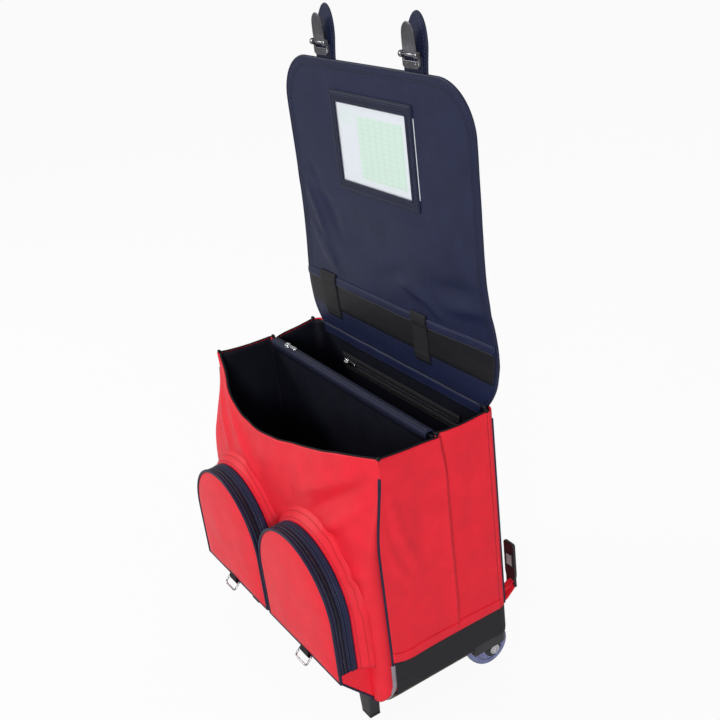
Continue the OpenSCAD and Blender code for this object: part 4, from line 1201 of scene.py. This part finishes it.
def build_clasps():
    """Pressed clasps: a base with two grooved ears and a ribbed lever that swings on its pin."""
    for side, name in SIDES:
        low, _, x, half = span("clasp_base_" + name)
        pin = pivot("clasp_open_" + name)
        bottom = low.z
        body = [(x - half + 5 * MM, 0), (x + half - 5 * MM, 0), (x + half - 2 * MM, 3 * MM),
            (x + half - 3 * MM, 9 * MM), (x - half + 3 * MM, 9 * MM), (x - half + 2 * MM, 3 * MM)]
        plate("clasp_body_" + name, body, (0, pin.y + 1.6 * MM, bottom),
            (1, 0, 0), (0, 0, 1), 2.4 * MM, GUNMETAL, 0.7 * MM, body="flap_front",
            replaces=["clasp_base_" + name])
        for ear in (-1, 1):
            ex = x + ear * (half - 3.2 * MM)
            path = [(ex - 2.7 * MM, pin.y, pin.z), (ex + 2.7 * MM, pin.y, pin.z)]
            lathe(f"clasp_ear_{name}_{ear + 1}", path, [(0, 0.0), (0, 3.2), (0.12, 4.0), (0.3, 4.1),
                (0.34, 3.7), (0.5, 4.1), (0.66, 3.7), (0.7, 4.1), (0.88, 4.0), (1, 3.2), (1, 1.7), (0.8, 1.5),
                (0.8, 0)], GUNMETAL, 28, body="flap_front")
            block(f"clasp_arm_{name}_{ear + 1}", (ex - 1.8 * MM, pin.y + MM, bottom + 3 * MM),
                (ex + 1.8 * MM, pin.y + 3.6 * MM, pin.z), GUNMETAL, 0.6 * MM, body="flap_front")
        for hole in (-1, 1):
            at = (x + hole * 8 * MM, pin.y + 0.2 * MM, bottom + 5.5 * MM)
            lathe(f"clasp_rivet_{name}_{hole + 1}", [at, (at[0], at[1] + 0.8 * MM, at[2])],
                [(0, 0.0), (0.6, 0.6), (0, 1.1), (0, 1.7), (0.8, 2.2), (1, 0)], GUNMETAL, 20, body="flap_front")
        _, lever_high, _, wide = span("clasp_lever_" + name)
        reach = lever_high.z - pin.z
        v = np.linspace(-0.06, 1, 26)
        over = np.clip((v - 0.62) / 0.38, 0, 1)
        width = (wide - 1.6 * MM * smooth(v, 0, 0.8)) * np.sqrt(np.maximum(1 - over ** 2.2, 0.02))
        u = np.linspace(-1, 1, 21)
        ribs = 0.45 * MM * (0.5 + 0.5 * np.cos(u * 3 * np.pi)) * (1 - np.abs(u) ** 8)
        lift = 0.8 * MM + 1.2 * MM * np.sin(np.clip(v, 0, 1) * np.pi * 0.8)
        y = pin.y - lift[:, None] - ribs[None] * smooth(v, 0.1, 0.3)[:, None] + 1.8 * MM * np.abs(u[None]) ** 6
        grid = xyz(x + width[:, None] * u, y, (pin.z + reach * v)[:, None])
        piece = cloth_sheet("clasp_plate_" + name, grid, GUNMETAL, 1.0 * MM, -1, body="clasp_" + name,
            replaces=["clasp_lever_" + name])
        bevel(piece, 0.25 * MM, 2)
        lathe("clasp_curl_" + name, [(x - wide, pin.y, pin.z), (x + wide, pin.y, pin.z)],
            [(0, 0), (0, 1.6), (0.03, 2.1), (0.97, 2.1), (1, 1.6), (1, 0)], GUNMETAL, 24, body="clasp_" + name)
        if side > 0:
            keeper = [(x + u * MM, FLAP_OUT + v * MM, FLAP_TOP + (w - 8) * MM)
                for u, v, w in ((20, 1, 0), (24, 1.5, 0.5), (25, 3, 1), (24, 5, 2), (20, 5.5, 2))]
            tube("strap_keeper", resample(keeper, 0.8 * MM), 0.8 * MM, NICKEL, body="flap_front")


# ---------------------------------------------------------------- loops, sliders, back zip, clips
def build_loops():
    for side, name in SIDES:
        _, _, x, half = span("wire_loop_" + name)
        at = pivot("loop_swing_" + name)
        r = 1.25 * MM
        half -= r
        reach = 13 * MM
        ahead = np.array([0, -1, -1]) * math.sqrt(0.5)       # the loops hang forwards at 45 degrees
        bend = [(half - 3 * MM, reach), (half - MM, reach - 0.9 * MM), (half, reach - 3 * MM), (half, MM),
            (half - 0.6 * MM, 0.0), (half - 2 * MM, 0)]
        flat = [(-u, v) for u, v in reversed(bend)] + bend
        path = [np.array([x + u, at.y, at.z]) + ahead * v for u, v in flat + flat[:1]]
        tube("loop_wire_" + name, resample(path, 0.7 * MM)[:-1], r, WIRE, closed=True, sides=12,
            body="loop_" + name, replaces=["wire_loop_" + name])
        half_tab = half - 3.4 * MM
        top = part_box("loop_tabs")[1].z + 2 * MM
        barrel = 2.5 * MM
        profile = [(FACE_Y - 0.6 * MM, top), (FACE_Y - 1.7 * MM, top - 1.5 * MM),
            (FACE_Y - 2.1 * MM, at.z + 5 * MM), (at.y - barrel * 0.8, at.z + 2.6 * MM), (at.y - barrel, at.z),
            (at.y - barrel * 0.7, at.z - barrel * 0.7), (at.y, at.z - barrel),
            (at.y + barrel * 0.7, at.z - barrel * 0.7), (at.y + barrel, at.z + 0.5 * MM)]
        u = np.linspace(-1, 1, 12)
        grid = np.array([xyz(x + half_tab * u * (0.88 if k < 2 else 1), y, z) for k, (y, z) in enumerate(profile)])
        cloth_sheet("loop_tab_" + name, grid[:, ::-1], WEBBING, 0.9 * MM,
            replaces=["loop_tabs"] if side < 0 else ())
        path = [(x + half_tab * a * 0.8, FACE_Y - 2.0 * MM, top - 3.2 * MM) for a in (-1, -0.3, 0.3, 1)]
        stitches("loop_tab_stitches_" + name, path, (0, -1, 0), DARK_THREAD, step=2.4 * MM, size=1.8 * MM,
            slot="black_webbing")


def build_back_zip():
    low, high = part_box("back_pocket_zip")
    z, half = (low.z + high.z) / 2, (high.z - low.z) / 2
    y = low.y + 1.5 * MM
    xs = np.linspace(low.x, high.x, 90)
    for k, (a, b) in enumerate(((-1.0, -0.16), (0.16, 1.0))):
        profile = [(a, 0.4), (a + 0.06, 1.0), ((a + b) / 2, 1.1), (b - 0.05, 1.2), (b, 0.6)]
        grid = np.array([xyz(xs, y + (1.2 - lift) * MM, z + share * half) for share, lift in profile])
        cloth_sheet(f"back_zip_tape_{k}", grid, LINING_TAPE, 0.7 * MM, replaces=["back_pocket_zip"] if k == 0
            else ())
        for n, share in enumerate((a * 0.9 + b * 0.1, a * 0.25 + b * 0.75)):
            path = [(x, y - 0.3 * MM, z + share * half) for x in (low.x + 3 * MM, high.x - 3 * MM)]
            stitches(f"back_zip_stitches_{k}_{n}", path, (0, -1, 0), GREY_THREAD)
    path = [(low.x + 5 * MM, y + 0.6 * MM, z), (high.x - 5 * MM, y + 0.6 * MM, z)]
    zip_teeth("back_zip_teeth", path, (0, -1, 0))


SLIDER_HALF = 5.5 * MM


def build_slider(node, body, origin, along, out):
    """A zip slider: a body with a waist and a bridge, and a long puller on a ring."""
    along, out = np.array(along, float), np.array(out, float)
    across = np.cross(out, along)

    def place(u, v, w):
        return np.array(origin) + (along * u + across * v + out * w) * MM

    sections = [(-5.4, 2.6), (-4.6, 3.6), (-2.5, 4.1), (1.0, 3.4), (3.5, 2.7), (5.0, 2.5), (5.5, 1.8)]
    for part, base, top in (("upper", 2.1, 3.7), ("lower", 0.35, 0.9)):
        rings = [[place(u, v, w) for v, w in ((-half, base), (-half, top - 0.5), (-half + 0.8, top),
            (half - 0.8, top), (half, top - 0.5), (half, base))] for u, half in sections]
        mesh = grid_mesh(f"{node}_{part}", np.array(rings), wrap=True)
        capped(mesh)
        piece = add(f"{node}_{part}", mesh, NICKEL, body, replaces=[node] if part == "upper" else ())
        bevel(piece, 0.3 * MM, 2)
    bridge = [place(u, 0, w) for u, w in ((-3.6, 3.4), (-3.4, 4.6), (-2.4, 5.3), (1.6, 5.3), (2.8, 4.6), (3.0, 3.4))]
    tube(node + "_bridge", resample(bridge, 0.5 * MM), 0.65 * MM, NICKEL, body=body)
    ring = [place(3.2 + 2.6 * math.cos(t), 1.9 * math.sin(t), 4.5 + 0.25 * math.cos(t))
        for t in np.linspace(0, 2 * np.pi, 18, endpoint=False)]
    tube(node + "_ring", ring, 0.5 * MM, NICKEL, closed=True, body=body)
    spine = resample([place(u, 0, w) for u, w in ((4.0, 4.3), (7.5, 3.2), (12, 2.6), (22, 2.6))], 0.8 * MM)
    share = np.linspace(0, 1, len(spine))
    width = (1.5 + 1.5 * smooth(share, 0.1, 0.5)) * np.sqrt(np.maximum(1
        - np.clip((share - 0.85) / 0.15, 0, 1) ** 2, 0.05))
    cols = np.linspace(-1, 1, 7)
    dish = 0.35 * (1 - np.abs(cols) ** 2)
    grid = np.array([[p + across * w * c * MM - out * d * MM * s for c, d in zip(cols, dish)] for p, w,
        s in zip(spine, width, smooth(share, 0.3, 0.5))])
    bevel(cloth_sheet(node + "_puller", grid, NICKEL, 0.9 * MM, 0, body=body), 0.2 * MM, 2)


def build_sliders():
    _, zip_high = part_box("divider_zip")
    build_slider("divider_slider", "divider_zip_slider",
        (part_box("divider_slider")[0].x + SLIDER_HALF, DIVIDER_Y, zip_high.z - 1.5 * MM), (1, 0, 0), (0, 0, 1))
    zip_low, zip_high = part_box("back_pocket_zip")
    build_slider("back_pocket_slider", "back_zip_slider", (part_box("back_pocket_slider")[0].x + SLIDER_HALF,
        zip_high.y - 0.8 * MM, (zip_low.z + zip_high.z) / 2), (1, 0, 0), (0, -1, 0))
    turn = math.radians(60)              # where the sliders stand on the arches
    out = np.array([-math.sin(turn), 0, math.cos(turn)])
    for name, pocket in POCKETS.items():
        centre = np.array([pocket["x"], FACE_Y + TEETH_DEPTH * MM, pocket["z"]])
        build_slider("pocket_slider_" + name, "pocket_zip_slider_" + name, centre + out * pocket["r"],
            (-math.cos(turn), 0, -math.sin(turn)), out)


def build_clips():
    for side, name in SIDES:
        low, high, x, half = span("strap_clip_" + name)
        at = pivot("clip_swing_" + name)
        top, bottom = high.z, low.z
        leg = [(half, bottom + 20 * MM), (half - 1.5 * MM, bottom + 12 * MM), (half - MM, bottom),
            (half - 3.4 * MM, bottom), (half - 4 * MM, bottom + 10.5 * MM)]
        outline = arc(x + half - 4 * MM, top - 4 * MM, 4 * MM, 0, 90, 5)
        outline += arc(x - half + 4 * MM, top - 4 * MM, 4 * MM, 90, 180, 5)
        outline += [(x - u, v) for u, v in leg] + [(x + u, v) for u, v in reversed(leg)]
        plate("clip_body_" + name, outline, (0, at.y, 0), (1, 0, 0), (0, 0, 1), 4.2 * MM,
            GLOSS, 0.9 * MM, body="clip_" + name, replaces=["strap_clip_" + name])
        frame_path = rounded_rect((x - half + 3.5 * MM, bottom + 31 * MM),
            (x + half - 3.5 * MM, bottom + 52 * MM), 2.5 * MM)
        for face in (-1, 1):
            ring = xyz(frame_path[:, 0], at.y + face * 2.2 * MM, frame_path[:, 1])
            tube(f"clip_window_{name}_{face + 1}", ring, 0.9 * MM, GLOSS, closed=True, body="clip_" + name)
            block(f"clip_pane_{name}_{face + 1}", (x - half + 5 * MM, at.y + face * 2.15 * MM - 0.15 * MM,
                bottom + 33 * MM), (x + half - 5 * MM, at.y + face * 2.15 * MM + 0.15 * MM, bottom + 50 * MM),
                SLOT_GREY, 0.1 * MM, body="clip_" + name)
        lathe("clip_pin_" + name, [(x - half + MM, at.y, at.z), (x + half - MM, at.y, at.z)],
            [(0, 0), (0, 1.6), (1, 1.6), (1, 0)], GLOSS, 16, body="clip_" + name)
        half_tab = half - 4.8 * MM
        wall = BACK_Y - 5 * MM
        u = np.linspace(-1, 1, 10)
        rim = [(wall, BAND_Z + 18 * MM, 1.15)]
        rim += [(at.y + ahead * MM, at.z + up * MM, w) for ahead, up, w in ((-6, -1, 1.05), (-2.5, 2.2, 1),
            (0, 3, 1), (2.6, 1.5, 1), (2.8, -1.5, 1), (-1, -7, 1.02))]
        rim += [(BACK_Y + 4 * MM, BAND_Z + 5 * MM, 1.1), (wall, BAND_Z + MM, 1.15)]
        grid = np.array([xyz(side * np.minimum(side * (x + half_tab * u * w), HALF_W - MM), y, z)
            for y, z, w in rim])
        cloth_sheet("clip_tab_" + name, grid, RED, 1.1 * MM, replaces=["clip_tabs"] if side < 0 else ())
        line = [(x + half_tab * a, at.y - 4 * MM, at.z + 1.8 * MM) for a in (-0.85, 0.85)]
        stitches("clip_tab_stitches_" + name, line, (0, -0.4, 1), RED_THREAD)


# ---------------------------------------------------------------- wheels, feet and handle
def hoop(x, y, z, r, n):
    """A circle of n points about the X direction."""
    t = np.linspace(0, 2 * np.pi, n, endpoint=False)
    return xyz(x, y + r * np.cos(t), z + r * np.sin(t))


def mirrored(half):
    """The other half of a lathe's profile."""
    return [(1 - share, r) for share, r in reversed(half)]


def build_wheels():
    for _, name in SIDES:
        low, high, _, half = span("wheel_tyre_" + name)
        at = pivot("wheel_spin_" + name)
        r = (high.z - low.z) / 2 / MM
        axis = [(at.x - half, at.y, at.z), (at.x + half, at.y, at.z)]
        wall = [(0.09, 20.2), (0.05, 21.5), (0.0, r - 8.5), (0.03, r - 5)]
        tread = [(0.5 + 0.46 * math.sin(t), r - 4.2 + 4.2 * math.cos(t)) for t in np.linspace(-1.4, 1.4, 15)]
        profile = wall + tread + mirrored(wall)
        wheel = "wheel_" + name
        lathe("tyre_" + name, axis, profile, TYRE, 96, body=wheel, replaces=["wheel_tyre_" + name])
        for k, face in enumerate((-1, 1)):
            x = at.x + face * (half - 0.2 * MM)
            tube(f"tyre_ridge_{name}_{k}", hoop(x, at.y, at.z, (r - 9.5) * MM, 64), 0.8 * MM, TYRE,
                closed=True, body=wheel)
        hub_axis = [(at.x - half + 2 * MM, at.y, at.z), (at.x + half - 2 * MM, at.y, at.z)]
        hub = [(0.30, 6.2), (0.30, 11.0), (0.0, 11.4), (0.0, 14.0), (0.06, 14.4), (0.10, 18.6), (0.03, 19.2),
            (0.0, 19.8), (0.02, 20.4)]
        lathe("hub_" + name, hub_axis, hub + mirrored(hub), HUB, 72, body=wheel, replaces=["wheel_hub_" + name])
        spokes = []
        for face in (-1, 1):
            for k in range(6):
                t = k * math.pi / 3 + 0.3
                out = np.array([0, math.cos(t), math.sin(t)])
                start = np.array([at.x + face * (half - 3.2 * MM), at.y, at.z]) + out * 16.6 * MM
                spokes.append((start, out, np.cross((1, 0, 0), out), np.array([1.0, 0, 0])))
        many("hub_ribs_" + name, spokes, lozenge(5.6 * MM, 2.2 * MM, 1.2 * MM), HUB, body=wheel)
        softened("wheel_bearings_" + name, ZINC, 0.3 * MM, "bolt_steel")


def build_plain_parts():
    """The rest keeps its CAD shape with eased edges and real finishes."""
    for node, material, edge in (
        ("base_board", BOARD, 0.4), ("chassis_plate", PLASTIC, 0.8), ("wheel_housing_left", PLASTIC, 0.7),
        ("wheel_housing_right", PLASTIC, 0.7), ("wheel_axles", CHROME, 0.5), ("front_feet", PLASTIC, 1.0),
        ("foot_pads", RUBBER, 0.7), ("chassis_screws", ZINC, 0.5), ("handle_sleeves", ALLOY, 0.2),
        ("handle_bracket", PLASTIC, 0.9), ("handle_collar", PLASTIC, 1.2), ("middle_tubes", ALLOY, 0.2),
        ("inner_tubes", ALLOY, 0.2), ("handle_grip", GRIP, 0.8), ("grip_button", BUTTON, 1.0),
        ("button_spring", ZINC, 0.1),
    ):
        softened(node, material, edge * MM)
    for side, name in SIDES:
        at = pivot("wheel_spin_" + name)
        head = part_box("wheel_axles")[1 if side > 0 else 0].x
        lathe("bolt_cap_" + name, [(head - side * 0.4 * MM, at.y, at.z), (head + side * 1.6 * MM, at.y, at.z)],
            [(0, 7.4), (0.35, 7.2), (0.75, 5.6), (0.75, 3.0), (0.3, 2.6), (0.3, 0)], CHROME, 32)
    grip_low, grip_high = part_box("handle_grip")
    y = (grip_low.y + grip_high.y) / 2
    z = grip_high.z - 9 * MM
    for k, x in enumerate([v * MM for v in range(-44, 45, 8) if abs(v) > 18]):
        tube(f"grip_rib_{k}", hoop(x, y, z, 9.1 * MM, 40), 0.7 * MM, GRIP, closed=True, body="handle_inner")


def mesh_material():
    m = Maker("mesh_cloth", (0.006, 0.006, 0.008), 0.5, specular=0.25)
    cells = m.node("ShaderNodeTexVoronoi", Scale=520.0, Randomness=0.12, Vector=m.coords())
    cells.voronoi_dimensions = "2D"
    m.shade(cells.outputs["Distance"], 1.9, 0.25)
    m.bump(cells.outputs["Distance"], 0.8, -0.0006)
    return m.mat


MESH = mesh_material()
FRAME_CLOTH = cloth("frame_cloth", (0.007, 0.010, 0.032), 0.45, 0.0010, 0.25)
LINING_TAPE = ribbed_cloth("lining_tape", (0.010, 0.010, 0.013), 0.0012, "Y")
GREY_THREAD = thread("grey_thread", (0.10, 0.09, 0.10))
GLOSS = plastic("gloss_plastic", (0.010, 0.010, 0.012), 0.22, 0.08)
SLOT_GREY = plastic("clip_slot", (0.30, 0.30, 0.31), 0.5, 0.2)
GRIP = plastic("grip_rubber", (0.016, 0.016, 0.018), 0.6, 0.4)

build_flap()
build_mesh_pocket()
build_window()
build_straps()
build_clasps()
build_loops()
build_back_zip()
build_sliders()
build_clips()
build_wheels()
build_plain_parts()


# ---------------------------------------------------------------- floor, light and camera
def area_light(name, place, aim, size, power, color=(1, 1, 1)):
    data = bpy.data.lights.new(name, "AREA")
    data.shape = "DISK"
    data.size = size
    data.energy = power
    data.color = color
    lamp = new_object(name, data)
    lamp.location = place
    lamp.rotation_euler = (Vector(aim) - Vector(place)).to_track_quat("-Z", "Y").to_euler()


def build_stage():
    s, z = 40.0, -0.0002                 # half the floor's width, and its height just under the wheels
    mesh = new_mesh("floor", [(-s, -s, z), (s, -s, z), (s, s, z), (-s, s, z)], [(0, 1, 2, 3)])
    m = Maker("floor_paint", (0.72, 0.72, 0.72), 0.6)
    m.shade(m.noise(3.0), 0.99, 1.01)
    glow = m.node("ShaderNodeEmission", Strength=1.0)
    seen = m.maths("MULTIPLY", m.tree.nodes.new("ShaderNodeLightPath").outputs["Is Camera Ray"], 0.93)
    both = m.node("ShaderNodeMixShader")
    link(m.tree, seen, both.inputs[0])
    link(m.tree, m.shader.outputs[0], both.inputs[1])
    link(m.tree, glow.outputs[0], both.inputs[2])
    link(m.tree, both.outputs[0], m.tree.nodes["Material Output"].inputs["Surface"])
    mesh.materials.append(m.mat)
    new_object("floor", mesh)
    world = bpy.context.scene.world or bpy.data.worlds.new("world")
    bpy.context.scene.world = world
    world.use_nodes = True
    tree = world.node_tree
    tree.nodes.clear()
    out = tree.nodes.new("ShaderNodeOutputWorld")
    mix = tree.nodes.new("ShaderNodeMixShader")
    ray = tree.nodes.new("ShaderNodeLightPath")
    link(tree, ray.outputs["Is Camera Ray"], mix.inputs[0])
    # soft light for the bag, plain white for the camera
    for k, (color, strength) in enumerate((((0.97, 0.98, 1.0, 1), 0.46), ((1, 1, 1, 1), 1.0))):
        sky = tree.nodes.new("ShaderNodeBackground")
        sky.inputs[0].default_value = color
        sky.inputs[1].default_value = strength
        link(tree, sky.outputs[0], mix.inputs[1 + k])
    link(tree, mix.outputs[0], out.inputs[0])
    aim = (0, 0, 0.4)
    area_light("key", (-1.9, -1.5, 1.9), aim, 0.8, 34, (1, 0.985, 0.96))
    area_light("side", (2.3, -1.8, 1.3), aim, 0.8, 50, (0.97, 0.98, 1))
    area_light("top", (0.1, 0.2, 2.9), aim, 2.0, 10)


def build_camera():
    """The photographed view: az 59.7, el 25.6 and a roll of -7.15 degrees."""
    place = Vector((1.0927, MID_Y - 0.6043, 1.0220))
    az, el, roll = math.radians(59.71), math.radians(25.56), -0.1249
    ahead = Vector((-math.sin(az) * math.cos(el), math.cos(az) * math.cos(el), -math.sin(el)))
    right = Vector((math.cos(az), math.sin(az), 0))
    up = right.cross(ahead)
    r2 = right * math.cos(roll) + up * math.sin(roll)
    u2 = up * math.cos(roll) - right * math.sin(roll)
    data = bpy.data.cameras.new("camera")
    data.sensor_width = 36
    data.lens = 52.63
    camera = new_object("camera", data)
    rotation = Matrix((r2, u2, -ahead)).transposed()
    camera.matrix_world = Matrix.Translation(place) @ rotation.to_4x4()
    bpy.context.scene.camera = camera


build_stage()
build_camera()
bpy.context.scene.view_settings.view_transform = "Standard"
